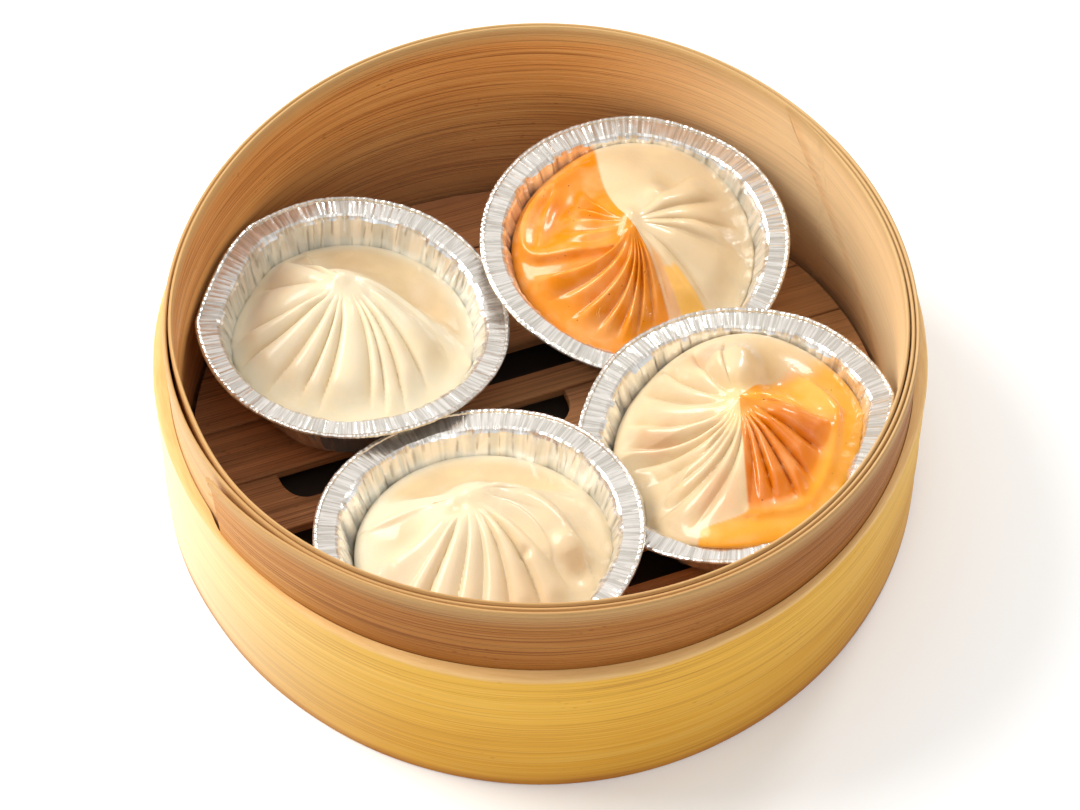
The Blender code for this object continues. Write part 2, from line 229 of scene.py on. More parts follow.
def colour_choice(description, *value):
    return bpy.props.FloatVectorProperty(
        description=description, default=value, subtype="COLOR", size=3, min=0, max=1)


def length_choice(description, value):
    return bpy.props.FloatProperty(
        description=description, default=value, unit="LENGTH", precision=5)


def amount_choice(description, value, **limits):
    return bpy.props.FloatProperty(description=description, default=value, **limits)


def count_choice(description, value):
    return bpy.props.IntProperty(description=description, default=value)


class BasketSettings(bpy.types.PropertyGroup):
    """Sizes and colours of the bamboo."""

    turns: amount_choice("How many times the collar's strip is wound round", 2.49,
                         min=1.5, max=4.0)
    strip_thickness: length_choice("Thickness of the wound strip", 0.00112)
    split_width: length_choice("How far two turns stand apart at the left front", 0.0011)
    collar_pale: colour_choice("Palest colour of the collar's split face", 0.88, 0.50, 0.17)
    collar_brown: colour_choice("Middle colour of the collar's split face", 0.74, 0.33, 0.090)
    collar_dark: colour_choice("Colour of the dark fibres in the collar", 0.34, 0.11, 0.028)
    band_pale: colour_choice("Palest colour of the band's smooth skin", 0.87, 0.575, 0.135)
    band_gold: colour_choice("Middle colour of the band's smooth skin", 0.80, 0.455, 0.055)
    band_edge: colour_choice("Colour of the band's browned lower edge", 0.38, 0.12, 0.010)
    floor_brown: colour_choice("Middle colour of the steamed floor boards", 0.44, 0.20, 0.085)


class FoilSettings(bpy.types.PropertyGroup):
    """Sizes of the foil cups' folds."""

    thickness: length_choice("Thickness of the foil", 0.00012)
    crimps: count_choice("Fine radial crimps round a cup's rim", 300)
    crimp_depth: length_choice("Depth of the rim's fine crimps", 0.00014)
    creases: count_choice("Creases down a cup's wall", 78)
    crease_depth: length_choice("Depth of the wall's creases", 0.00100)


class DoughSettings(bpy.types.PropertyGroup):
    """Shape and colours of the dumplings' dough."""

    pleat_share: amount_choice("Share of each pleat's full depth", 1.0,
                               subtype="FACTOR", min=0.0, max=1.5)
    cream: colour_choice("Colour of the plain dough", 0.77, 0.68, 0.495)
    # Painted shade colour of the plain dough in its folds, hollows and shaded side
    cream_painted_shade: colour_choice("Colour of the plain dough down in its folds", 0.585, 0.41, 0.205)
    orange: colour_choice("Colour of the coloured dough", 0.80, 0.265, 0.003)
    # Painted shade colour of the coloured dough, also used for its deep middle
    orange_painted_shade_and_deep: colour_choice("Colour of the coloured dough down in its folds",
                               0.50, 0.115, 0.003)


class StageSettings(bpy.types.PropertyGroup):
    """Camera and light."""

    elevation: amount_choice("How far above the horizon the camera stands",
                             math.radians(49.85), subtype="ANGLE")
    distance: length_choice("From the camera to the point that it looks at", 0.85)
    lens: amount_choice("Focal length in millimetres", 108.75)
    key_power: amount_choice("Power of the large soft light at the left", 15.2)
    fill_power: amount_choice("Power of the soft light at the right", 3.0)
    sky: amount_choice("Strength of the light from all round", 0.72)


# Meshes


def rolled(rows, columns, place):
    """A flat grid, each of whose corners is put where place says for its column and row."""
    shape = bmesh.new()
    bmesh.ops.create_grid(shape, x_segments=columns, y_segments=rows, size=0.5)
    for corner in shape.verts:
        corner.co = place(round((corner.co.x + 0.5) * columns), round((corner.co.y + 0.5) * rows))
    bmesh.ops.remove_doubles(shape, verts=shape.verts[:], dist=1e-6)
    return shape


def lathe(profile, steps, closed):
    """A grid rolled up about Z to a list of (radius, height). A closed profile makes a ring."""
    ring = [*profile, profile[0]] if closed else profile
    turns = [(math.cos(math.tau * step / steps), math.sin(math.tau * step / steps))
             for step in range(steps)] * 2

    def place(step, row):
        radius, height = ring[row]
        return radius * turns[step][0], radius * turns[step][1], height

    shape = rolled(len(ring) - 1, steps, place)
    bmesh.ops.recalc_face_normals(shape, faces=shape.faces[:])
    return shape


def swept_straight(section, steps):
    """A closed section of (depth, height), swept along X one unit a step, with its ends shut."""
    ring = [*section, section[0]]
    shape = rolled(len(section), steps, lambda step, row: (float(step), *ring[row]))
    open_edges = [edge for edge in shape.edges if edge.is_boundary]
    bmesh.ops.holes_fill(shape, edges=open_edges, sides=0)
    bmesh.ops.recalc_face_normals(shape, faces=shape.faces[:])
    return shape


def mesh_from(name, shape):
    mesh = bpy.data.meshes.new(name)
    shape.to_mesh(mesh)
    shape.free()
    return mesh


def points_of(mesh):
    flat = np.empty(len(mesh.vertices) * 3, np.float32)
    mesh.vertices.foreach_get("co", flat)
    return flat.reshape(-1, 3).astype(float)


def polar_of(points):
    """The angles, radii and heights of points."""
    x, y, height = points.T
    return np.arctan2(y, x), np.hypot(x, y), height


def polar(angle, radius, height):
    """Points at angles, radii and heights."""
    return np.stack([radius * np.cos(angle), radius * np.sin(angle), height], axis=-1)


def set_points(mesh, points):
    mesh.vertices.foreach_set("co", points.astype(np.float32).ravel())
    mesh.update()


def set_values(mesh, name, values):
    """Keeps a number or a vector for each point, for the materials to read."""
    kind, key = ("FLOAT_VECTOR", "vector") if values.ndim == 2 else ("FLOAT", "value")
    attribute = mesh.attributes.new(name, kind, "POINT")
    attribute.data.foreach_set(key, values.astype(np.float32).ravel())


def add_piece(name, mesh, material, nodes, sharp=30.0):
    """Puts a finished mesh in the scene, in place of the solids that it stands for."""
    mesh.materials.append(material)
    mesh.shade_smooth()
    mesh.set_sharp_from_angle(angle=math.radians(sharp))
    piece = bpy.data.objects.new(name, mesh)
    bpy.context.scene.collection.objects.link(piece)
    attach(piece, "root")
    if nodes:
        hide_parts(*nodes)
    return piece


def smooth_step(low, high, value):
    share = np.clip((value - low) / (high - low), 0.0, 1.0)
    return share * share * (3 - 2 * share)


def window(value, low, first, last, high):
    """1 between two places, falling smoothly to 0 at the places outside them."""
    return smooth_step(low, first, value) * smooth_step(high, last, value)


def drift(angle, seed, waves=9):
    """A slow wander round a ring, about from -1 to 1."""
    rng = np.random.default_rng(seed)
    total = np.zeros_like(angle)
    for wave in range(1, waves + 1):
        total += np.cos(wave * angle + rng.uniform(0, math.tau)) * rng.uniform(0.3, 1.0)
    return total / math.sqrt(waves)


def crumple(angle, count, seed, wander=0.38):
    """Foil's ins and outs round a ring: straight facets between sharp creases, from -1 to 1."""
    rng = np.random.default_rng(seed)
    places = (np.arange(count) + rng.uniform(-wander, wander, count)) / count * math.tau
    heights = rng.uniform(0.25, 1.0, count) * np.where(np.arange(count) % 2, 1.0, -1.0)
    return np.interp(angle % math.tau, places % math.tau, heights, period=math.tau)


def wrapped(angle):
    return (angle + math.pi) % math.tau - math.pi


def nearness(angle, middle, wide):
    """1 at the middle of a stretch of a ring, falling smoothly to 0 this wide of it."""
    away = np.minimum(np.abs(wrapped(angle - middle)) / wide, 1.0)
    return np.cos(away * math.pi / 2) ** 2


def near(angle, middle, wide):
    """Nearness to a bearing, which is given in degrees, as is the width."""
    return nearness(angle, math.radians(middle), math.radians(wide))


# The bent basket


def bent_share(angle, bend):
    """How much longer a hand-bent ring's radius is at an angle than a round one's."""
    oval, corners = bend
    return 1 - oval * np.cos(2 * angle) - corners * np.sin(3 * angle)


def collar_bent(angle, radius, height):
    """The collar's radius at an angle: its foot is held by the band and its top is free."""
    foot, top = bent_share(angle, COLLAR_FOOT_BEND), bent_share(angle, COLLAR_TOP_BEND)
    return radius * (foot + (top - foot) * height / COLLAR_HEIGHT)


def collar_place(angle, radius, height):
    """Points at angles and radii of the hand-bent collar."""
    points = polar(angle, collar_bent(angle, radius, height), height)
    return points + (0.0, SHIFT_BACK - COLLAR_FORWARD, 0.0)


def collar_room(turns):
    """The radius, before bending, that everything inside the collar keeps within."""
    return COLLAR_RADIUS - STRIP_PITCH * (turns + 1)


# Materials

COLOUR, NUMBER, VECTOR = "NodeSocketColor", "NodeSocketFloat", "NodeSocketVector"


def add_node(tree, kind, inputs=None, **settings):
    """Adds a node, with its settings, and values or sockets for its inputs."""
    node = tree.nodes.new(kind)
    for name, value in settings.items():
        setattr(node, name, value)
    for name, value in (inputs or {}).items():
        socket = node.inputs[name]
        if isinstance(value, bpy.types.NodeSocket):
            tree.links.new(value, socket)
        else:
            socket.default_value = (*value, 1.0) if socket.type == "RGBA" else value
    return node


def mix_colours(tree, factor, first, second, blend="MIX"):
    return add_node(tree, "ShaderNodeMix", {0: factor, 6: first, 7: second},
                    data_type="RGBA", blend_type=blend).outputs[2]


def named_vector(tree, name):
    return add_node(tree, "ShaderNodeAttribute", attribute_name=name).outputs["Vector"]


def named_value(tree, name):
    return add_node(tree, "ShaderNodeAttribute", attribute_name=name).outputs["Fac"]


def overlaid(tree, colour, layers):
    """A colour with others laid over it in turn, each as far as its named value says."""
    for name, other, *blend in layers:
        other = other(tree) if callable(other) else other
        colour = mix_colours(tree, named_value(tree, name), colour, other, *blend)
    return colour


def spread(tree, value, low, high, to_low=0.0, to_high=1.0):
    """Stretches a value from one range to another, smoothly and within its ends."""
    return add_node(tree, "ShaderNodeMapRange", {
        "Value": value, "From Min": low, "From Max": high, "To Min": to_low,
        "To Max": to_high}, interpolation_type="SMOOTHSTEP").outputs["Result"]


def calculate(tree, operation, first, second):
    node = add_node(tree, "ShaderNodeMath", {0: first, 1: second}, operation=operation)
    return node.outputs[0]


def times(tree, first, second):
    return calculate(tree, "MULTIPLY", first, second)


def weighed(tree, *parts):
    """The sum of values, each times its weight."""
    total, *others = [times(tree, value, weight) for value, weight in parts]
    for other in others:
        total = calculate(tree, "ADD", total, other)
    return total


def scaled(tree, vector, scales):
    return add_node(tree, "ShaderNodeVectorMath", {0: vector, 1: scales},
                    operation="MULTIPLY").outputs[0]


def stretched_noise(tree, vector, scales, detail, roughness=0.55):
    """Noise at its own scale in each direction, or at one in all, in cycles for each metre."""
    scales = (scales,) * 3 if isinstance(scales, float) else scales
    return add_node(tree, "ShaderNodeTexNoise", {
        "Vector": scaled(tree, vector, scales), "Scale": 1.0, "Detail": detail,
        "Roughness": roughness}).outputs["Fac"]


def rare_dots(tree, vector, scale, dots, where, share):
    """Small dots round the middles of cells, only as far as a value and a share say."""
    cells = add_node(tree, "ShaderNodeTexVoronoi", {"Vector": vector, "Scale": scale})
    return times(tree, spread(tree, cells.outputs["Distance"], *dots), times(tree, where, share))


def new_group(name, inputs):
    """A shader node group that gives a colour, a height and a roughness."""
    tree = bpy.data.node_groups.new(name, "ShaderNodeTree")
    for label, kind in inputs.items():
        tree.interface.new_socket(label, in_out="INPUT", socket_type=kind)
    for label, kind in (("Color", COLOUR), ("Height", NUMBER), ("Roughness", NUMBER)):
        tree.interface.new_socket(label, in_out="OUTPUT", socket_type=kind)
    return tree, add_node(tree, "NodeGroupInput").outputs


def bamboo_group():
    """Split bamboo: fine fibres and broader streaks, and small dark specks.

    Its grain runs along the first and the last of the three directions that it is given.
    """
    found = bpy.data.node_groups.get("split bamboo")
    if found:
        return found
    tree, given = new_group("split bamboo", {
        "Grain": VECTOR, "Pale": COLOUR, "Middle": COLOUR, "Dark": COLOUR,
        "Streaks": NUMBER, "Specks": NUMBER})
    grain, dark = given["Grain"], given["Dark"]
    fibres = stretched_noise(tree, grain, (20.0, 2400.0, 20.0), 4.0, 0.62)
    streaks = stretched_noise(tree, grain, (4.0, 640.0, 4.0), 3.0)
    patches = stretched_noise(tree, grain, (14.0, 60.0, 14.0), 2.0)
    tone = weighed(tree, (fibres, 0.48), (streaks, 0.28), (patches, 0.24))
    shade = mix_colours(tree, spread(tree, tone, 0.32, 0.50), dark, given["Middle"])
    shade = mix_colours(tree, spread(tree, tone, 0.46, 0.70), shade, given["Pale"])
    lines = spread(tree, stretched_noise(tree, grain, (8.0, 1900.0, 8.0), 3.0, 0.6), 0.54, 0.62)
    lines = times(tree, lines, given["Streaks"])
    shade = mix_colours(tree, lines, shade, dark)
    rare = spread(tree, stretched_noise(tree, grain, (70.0, 110.0, 70.0), 1.0), 0.60, 0.66)
    specks = rare_dots(tree, scaled(tree, grain, (260.0, 620.0, 260.0)), 1.0, (0.24, 0.10),
                       rare, given["Specks"])
    add_node(tree, "NodeGroupOutput", {
        "Color": mix_colours(tree, specks, shade, dark),
        "Height": calculate(tree, "SUBTRACT", fibres, times(tree, lines, 0.5)),
        "Roughness": spread(tree, tone, 0.3, 0.7, 0.62, 0.44)})
    return tree


def new_material(name, **values):
    """A material with its Principled shader's own sockets set."""
    material = bpy.data.materials.new(name)
    material.use_nodes = True
    tree = material.node_tree
    shader = tree.nodes["Principled BSDF"]
    for label, value in values.items():
        socket = shader.inputs[label.replace("_", " ").title().replace("Ior", "IOR")]
        socket.default_value = value
    return material, tree, shader


def finish(tree, shader, colour, roughness, height=None, strength=0.0, depth=0.0):
    """Joins a colour, a roughness and, as a bump, a height to a shader."""
    tree.links.new(colour, shader.inputs["Base Color"])
    tree.links.new(roughness, shader.inputs["Roughness"])
    if height is not None:
        bump = add_node(tree, "ShaderNodeBump", {
            "Height": height, "Strength": strength, "Distance": depth})
        tree.links.new(bump.outputs["Normal"], shader.inputs["Normal"])


def object_place(tree):
    return add_node(tree, "ShaderNodeTexCoord").outputs["Object"]


def wood_outputs(tree, grain, colours, streaks=0.5, specks=0.5):
    """Split bamboo in its pale, middle and dark colours."""
    pale, middle, dark = colours
    return add_node(tree, "ShaderNodeGroup", {
        "Grain": grain, "Pale": pale, "Middle": middle, "Dark": dark, "Streaks": streaks,
        "Specks": specks}, node_tree=bamboo_group()).outputs


def bamboo_material(name, colours, streaks, specks, relief, layers):
    """Bamboo whose grain follows the piece, with other colours laid over it in places."""
    material, tree, shader = new_material(name, specular_ior_level=0.18)
    wood = wood_outputs(tree, named_vector(tree, "grain"), colours, streaks, specks)
    finish(tree, shader, overlaid(tree, wood["Color"], layers), wood["Roughness"],
           wood["Height"], relief, 0.0004)
    return material


def collar_material(settings):
    """Smoke-darkened outside with painted light at its left, steam stain and painted shade low
    inside, painted light high on the inner wall at the right, and a cut edge along the top.
    """
    return bamboo_material(
        "wound bamboo", (settings.collar_pale, settings.collar_brown, settings.collar_dark),
        0.70, 0.6, 0.5, (
            # Layers: smoke outside, eased by painted light at the left; painted light high on the
            # inner wall at the right, with a paler stretch outside; steam stain with painted
            # shade low inside; the cut edge.
            ("smoke_and_painted_light", (0.42, 0.31, 0.15), "MULTIPLY"), ("painted_light_and_pale", (0.96, 0.76, 0.46)),
            ("steam_stain_and_painted_shade", (0.40, 0.22, 0.12)), ("edge", (0.60, 0.385, 0.165))))


def pith_colour(tree):
    """The dull split pith on the ledge, in two shades."""
    fibres = stretched_noise(tree, named_vector(tree, "grain"), (120.0, 1500.0, 120.0), 4.0)
    return mix_colours(tree, fibres, (0.66, 0.37, 0.12), (0.90, 0.61, 0.28))


def band_material(settings):
    """Smooth skin with a painted sheen at the left, darker low down and with painted shade at the
    front right, dull pith on the ledge and a dark lower edge.
    """
    return bamboo_material(
        "bamboo skin", (settings.band_pale, settings.band_gold, (0.50, 0.25, 0.045)),
        0.40, 0.45, 0.22, (
            # Darker low down with painted shade at the front right, then a painted sheen at the
            # left.
            ("darker_low_and_painted_side_shade", (0.76, 0.62, 0.32), "MULTIPLY"), ("painted_sheen", (0.90, 0.82, 0.62)),
            ("pith", pith_colour), ("edge", settings.band_edge)))


def floor_material(settings):
    """Steamed boards, lighter towards the right wall."""
    brown = settings.floor_brown
    pale, dark = [min(1.0, 1.5 * part) for part in brown], [0.35 * part for part in brown]
    return bamboo_material("steamed bamboo", (pale, brown, dark), 0.5, 0.5, 0.6,
                           (("paler_to_right", (0.52, 0.27, 0.11)),))


def ring_material(settings):
    """The floor's ring keeps its solid, so its grain runs round it by its place."""
    material, tree, shader = new_material("floor ring bamboo", specular_ior_level=0.4)
    turned = add_node(tree, "ShaderNodeMapping", {
        "Vector": object_place(tree), "Rotation": (math.pi / 2, 0.0, 0.0)}).outputs["Vector"]
    wood = wood_outputs(tree, turned, (settings.collar_pale, settings.floor_brown,
                                       settings.collar_dark))
    finish(tree, shader, wood["Color"], wood["Roughness"])
    return material


def foil_material():
    """Bright thin foil, a little crumpled between its folds, with painted shade in the wall's
    creases and the rim's crimps.
    """
    material, tree, shader = new_material("crimped foil", metallic=0.80)
    place, spoke = object_place(tree), named_vector(tree, "spoke")
    fine, broad = (stretched_noise(tree, place, scale, 2.0) for scale in (700.0, 190.0))
    lines = stretched_noise(tree, spoke, (1150.0, 1150.0, 60.0), 3.0, 0.6)
    facets = stretched_noise(tree, spoke, (420.0, 420.0, 40.0), 1.0)
    crimped = named_value(tree, "crimped")
    wall = mix_colours(tree, spread(tree, facets, 0.38, 0.62), (0.80, 0.835, 0.86),
                       (1.0, 1.0, 1.0))
    # Painted shade: dark lines down the wall's creases.
    wall = overlaid(tree, wall, (("painted_crease_shade", (0.22, 0.19, 0.16)),))
    # The rim's crimp lines are painted darker, as painted shade in the crimps.
    rim = mix_colours(tree, spread(tree, lines, 0.38, 0.62), (0.60, 0.57, 0.52),
                      (0.82, 0.79, 0.75))
    colour = mix_colours(tree, spread(tree, crimped, 0.4, 0.9), wall, rim)
    height = weighed(tree, (broad, 0.8), (lines, crimped))
    finish(tree, shader, colour, spread(tree, fine, 0.3, 0.7, 0.19, 0.26), height, 0.32, 0.00045)
    return material


def dough_group():
    """Steamed dough: its colour in the open and its painted shade down in the folds, which also
    darkens the coloured dough's deep middle, and flecks where coloured.
    """
    found = bpy.data.node_groups.get("steamed dough")
    if found:
        return found
    tree, given = new_group("steamed dough", {
        "Place": VECTOR, "Tint": NUMBER, "Painted_shade_and_deep": NUMBER, "Filling": NUMBER, "Golden": NUMBER,
        "Plain": COLOUR, "Plain fold": COLOUR, "Coloured": COLOUR, "Coloured fold": COLOUR})
    place = given["Place"]
    cloud, grain = (stretched_noise(tree, place, scale, 2.0) for scale in (120.0, 1300.0))
    # Painted shade: each dough darkens towards its second colour as far as the shade value says.
    plain = mix_colours(tree, given["Painted_shade_and_deep"], given["Plain"], given["Plain fold"])
    coloured = mix_colours(tree, given["Painted_shade_and_deep"], given["Coloured"], given["Coloured fold"])
    shade = mix_colours(tree, given["Tint"], plain, coloured)
    for factor, other in ((spread(tree, cloud, 0.4, 0.7, 0.0, 0.16), (0.96, 0.74, 0.40)),
                          (given["Golden"], (0.92, 0.55, 0.055)),
                          (given["Filling"], (0.60, 0.26, 0.12))):
        shade = mix_colours(tree, factor, shade, other)
    rare = spread(tree, stretched_noise(tree, place, 300.0, 1.0), 0.56, 0.62)
    flecks = rare_dots(tree, place, 520.0, (0.16, 0.06), rare, given["Tint"])
    add_node(tree, "NodeGroupOutput", {
        "Color": mix_colours(tree, flecks, shade, (0.20, 0.045, 0.01)),
        "Height": weighed(tree, (cloud, 0.6), (grain, 0.25)),
        "Roughness": spread(tree, cloud, 0.3, 0.7, 0.28, 0.42)})
    return tree


def dough_material(name, settings, gloss, paler=(1.0, 1.0, 1.0)):
    """Moist steamed dough that lets some light through."""
    material, tree, shader = new_material(
        name, subsurface_weight=0.35, subsurface_radius=(1.0, 0.75, 0.45),
        subsurface_scale=0.0022, coat_weight=gloss, coat_roughness=0.12,
        specular_ior_level=0.3)
    dough = add_node(tree, "ShaderNodeGroup", {
        "Place": object_place(tree),
        **{label: named_value(tree, label.lower())
           for label in ("Tint", "Painted_shade_and_deep", "Filling", "Golden")},
        "Plain": [part * share for part, share in zip(settings.cream, paler)],
        "Plain fold": settings.cream_painted_shade, "Coloured": settings.orange,
        "Coloured fold": settings.orange_painted_shade_and_deep}, node_tree=dough_group()).outputs
    finish(tree, shader, dough["Color"], dough["Roughness"], dough["Height"], 0.25, 0.0008)
    return material


# Basket


def strip_section(rows):
    """The strip's section: up its outside, over the worn top edge and down its inside."""
    heights = np.linspace(0.0, 0.985, rows)
    up = [(0.0, height) for height in heights]
    over = [(0.10, 0.996), (0.32, 1.0), (0.68, 1.0), (0.90, 0.996)]
    down = [(1.0, height) for height in heights[::-1]]
    return up + over + down


def wind_strip(settings, steps=560, rows=14):
    """The collar: one strip wound inwards, its turns uneven and sprung apart in places."""
    mesh = mesh_from("collar", swept_straight(strip_section(rows), steps))
    step, depth, height = points_of(mesh).T
    share = step / steps
    slant = np.radians(13.0 * height - 21.0 * (1 - height) ** 1.4)
    turns = share * (settings.turns + slant / math.tau)
    angle = STRIP_OUTER_END + math.tau * turns
    around = angle % math.tau

    thickness = settings.strip_thickness * (1 - 0.93 * smooth_step(0.980, 1.0, share))
    radius = COLLAR_RADIUS - STRIP_PITCH * turns - thickness * depth
    radius += 0.00008 * drift(angle * 0.83, 5)
    sprung = np.exp(-((around - math.radians(SPLIT_BEARING)) / math.radians(13)) ** 2)
    radius -= settings.split_width * sprung * (turns > 1.5) * height ** 2
    radius += 0.0011 * smooth_step(0.028, 0.0, share) * height ** 3

    layer = np.floor(turns + 0.5)
    top = COLLAR_HEIGHT - 0.00028 - 0.00016 * drift(angle * 0.77, 8)
    top -= np.select([layer == 0, layer == 1], [0.00010, 0.00034], 0.00002)
    set_points(mesh, collar_place(angle, radius, np.clip(height * top, 0.0, COLLAR_HEIGHT)))
    mark_strip(mesh, share, turns, around, depth, height)
    return mesh


def mark_strip(mesh, share, turns, around, depth, height):
    """Where the strip is smoked, stained by steam, cut or paler, where painted light and painted
    shade fall on it, and which way its grain runs.
    """
    inside, layer = depth > 0.5, np.floor(turns + 0.5)
    length = COLLAR_RADIUS * math.tau * turns
    set_values(mesh, "grain", np.column_stack([
        length, height * COLLAR_HEIGHT + depth * 0.0031, 0.6 * layer + inside * 0.3]))
    bearing = np.degrees(wrapped(around))
    # Painted light: the inner wall at the right, lit over the left rim, is painted pale high up.
    # A thin line of painted shade along the strip's end makes it less pale there. Outside, the
    # last stretch before the first full turn is paler.
    pale = window(bearing, -75, -30, 40, 88) * smooth_step(-0.25, 0.55, height)
    end = smooth_step(0.9965, 0.999, share)
    set_values(mesh, "painted_light_and_pale", inside * (0.70 * pale - 0.2 * end).clip(0, 1)
               + 0.34 * (~inside) * (turns < 1.01) * smooth_step(0.80, 0.95, turns))
    # Darker low on the inner wall: partly steam stain, partly painted shade, deepest on the
    # shaded left-back wall.
    low = smooth_step(0.75, 0.10, height) * inside
    set_values(mesh, "steam_stain_and_painted_shade", low * (0.36 + 0.16 * np.cos(around - math.radians(140))))
    lit, back = near(around, SPLIT_BEARING, 60), near(around, 100, 110)
    # Smoke darkens the outer face. The darkening is weaker at the left, where painted light
    # stands for the key light.
    set_values(mesh, "smoke_and_painted_light", (~inside) * (0.95 - 0.15 * height) * (1 - 0.80 * lit))
    set_values(mesh, "edge", smooth_step(0.968, 0.988, height) * (0.68 + 0.30 * back))


def make_splinters(count=16):
    """Pale torn fibres at the top corner of the strip's outer end."""
    rng = np.random.default_rng(4)
    shape = bmesh.new()
    for _ in range(count):
        long, thick = rng.uniform(0.0022, 0.0062), rng.uniform(0.00012, 0.00030)
        sliver = bmesh.ops.create_cone(
            shape, cap_ends=True, segments=5, radius1=thick, radius2=thick * 0.25, depth=long)
        angle = STRIP_OUTER_END + rng.uniform(-0.004, 0.016)
        height = COLLAR_HEIGHT - 0.0008 - rng.uniform(0.0, 1.0) ** 1.6 * 0.0060
        spot = Vector(collar_place(np.array(angle), COLLAR_RADIUS + 0.0007, np.array(height)))
        turn = (Matrix.Rotation(angle + math.pi / 2, 4, "Z")
                @ Matrix.Rotation(rng.normal(0, 0.10), 4, "Z")
                @ Matrix.Rotation(math.pi / 2 + rng.normal(0.06, 0.10), 4, "Y"))
        bmesh.ops.transform(shape, matrix=Matrix.Translation(spot) @ turn,
                            verts=sliver["verts"])
    mesh = mesh_from("collar_splinters", shape)
    points = points_of(mesh)
    set_values(mesh, "grain", points[:, [0, 2, 1]])
    set_values(mesh, "edge", np.full(len(points), 0.75))
    return mesh


def band_section(rows):
    """The band's section as (share of its thickness, height): round, from its inner foot."""
    tall = BAND_HEIGHT
    outside = [(1.0, 0.0007 + (tall - 0.0020) * row / rows) for row in range(rows + 1)]
    top = [(0.975, tall - 0.0007), (0.90, tall - 0.0002), (0.76, tall), (0.5, tall),
           (0.25, tall), (0.0, tall - 0.0001)]
    inside = [(0.0, tall * share) for share in (0.75, 0.5, 0.25)]
    return [(0.0, 0.0), (0.4, 0.0), (0.80, 0.0), (0.97, 0.0002)] + outside + top + inside


def bend_band(steps=288, rows=16):
    """The thick band. Its inside follows the collar and its outside its own outline."""
    section = [(1.0 + share, height) for share, height in band_section(rows)]
    mesh = mesh_from("band", lathe(section, steps, closed=True))
    angle, share, height = polar_of(points_of(mesh))
    share -= 1.0
    along = (angle - STRIP_OUTER_END) / math.tau % 1.0
    wound = COLLAR_RADIUS - STRIP_PITCH * along * smooth_step(1.0, 0.985, along)
    inner = collar_place(angle, wound + GAP * 0.5, height)[:, :2]
    reach = BAND_RADIUS * bent_share(angle, BAND_BEND) - 0.00025
    reach += 0.00016 * drift(angle, 31) + 0.00012 * drift(angle * 2 + height * 60, 33)
    outer = polar(angle, reach, height)[:, :2] + (0.0, SHIFT_BACK)
    flat = inner + (outer - inner) * share[:, None]
    top = smooth_step(BAND_HEIGHT - 0.004, BAND_HEIGHT, height)
    rise = height - top * (0.00022 + 0.00018 * drift(angle, 35))
    set_points(mesh, np.column_stack([flat, rise]))
    grain = polar(angle, BAND_RADIUS, rise + 0.0035 * (1 - share))
    set_values(mesh, "grain", grain[:, [0, 2, 1]])
    # Painted sheen: the skin at the left, facing the key light, is painted pale.
    set_values(mesh, "painted_sheen", 0.72 * near(angle, 186, 70))
    set_values(mesh, "pith", smooth_step(BAND_HEIGHT - 0.0013, BAND_HEIGHT - 0.0004, height))
    foot = smooth_step(0.0042 + 0.0012 * drift(angle, 36), 0.0, height)
    set_values(mesh, "edge", foot * (0.80 + 0.15 * drift(angle * 3, 38)).clip(0, 1))
    # Darker towards the bottom, with painted shade towards the front right, away from the key
    # light, and painted light at the left easing it.
    turned = 0.5 + 0.5 * np.cos(angle - math.radians(310))
    set_values(mesh, "darker_low_and_painted_side_shade", smooth_step(0.80, 0.15, height / BAND_HEIGHT) * 0.55
               + 0.30 * turned - 0.35 * near(angle, 190, 60))
    return mesh


def board_end(across, side, turns):
    """How far along the boards the collar lets one reach, to the right (1) or left (-1)."""
    along = side * collar_room(turns)
    for _ in range(8):
        angle = math.atan2(across, along) + BOARD_TURN
        radius = collar_bent(angle, collar_room(turns) - GAP, FLOOR_TOP)
        along = side * math.sqrt(max(radius ** 2 - across ** 2, 0.0))
    return along


def rounded_notch(start, end, top, steps=7):
    """The outline of a slot cut down into a board's top edge, from its left end to its right."""
    corner, deep, points = SLOT_WIDTH * 0.62, SLOT_WIDTH * 0.8, [(start, top)]
    for middle, first in ((start + corner, 180), (end - corner, 270)):
        for step in range(steps + 1):
            turn = math.radians(first + 90 * step / steps)
            points.append((middle + corner * math.cos(turn),
                           top - SLOT_WIDTH + deep + deep * math.sin(turn)))
    return points + [(end, top)]


def board_outline(number, turns):
    """A board's outline with its slots, in the boards' own directions."""
    first = BOARD_FIRST_EDGE + BOARD_PITCH * (number - 1)
    low, high = first + BOARD_JOINT / 2, first + BOARD_PITCH - BOARD_JOINT / 2
    levels = np.linspace(max(low, -collar_room(turns) * 0.985), high, 9)
    outline = [(board_end(across, 1, turns), across) for across in levels]
    for _, start, end in sorted((slot for slot in SLOTS if slot[0] == number), reverse=True):
        outline += rounded_notch(start, end, high)[::-1]
    return outline + [(board_end(across, -1, turns), across) for across in levels[::-1]]


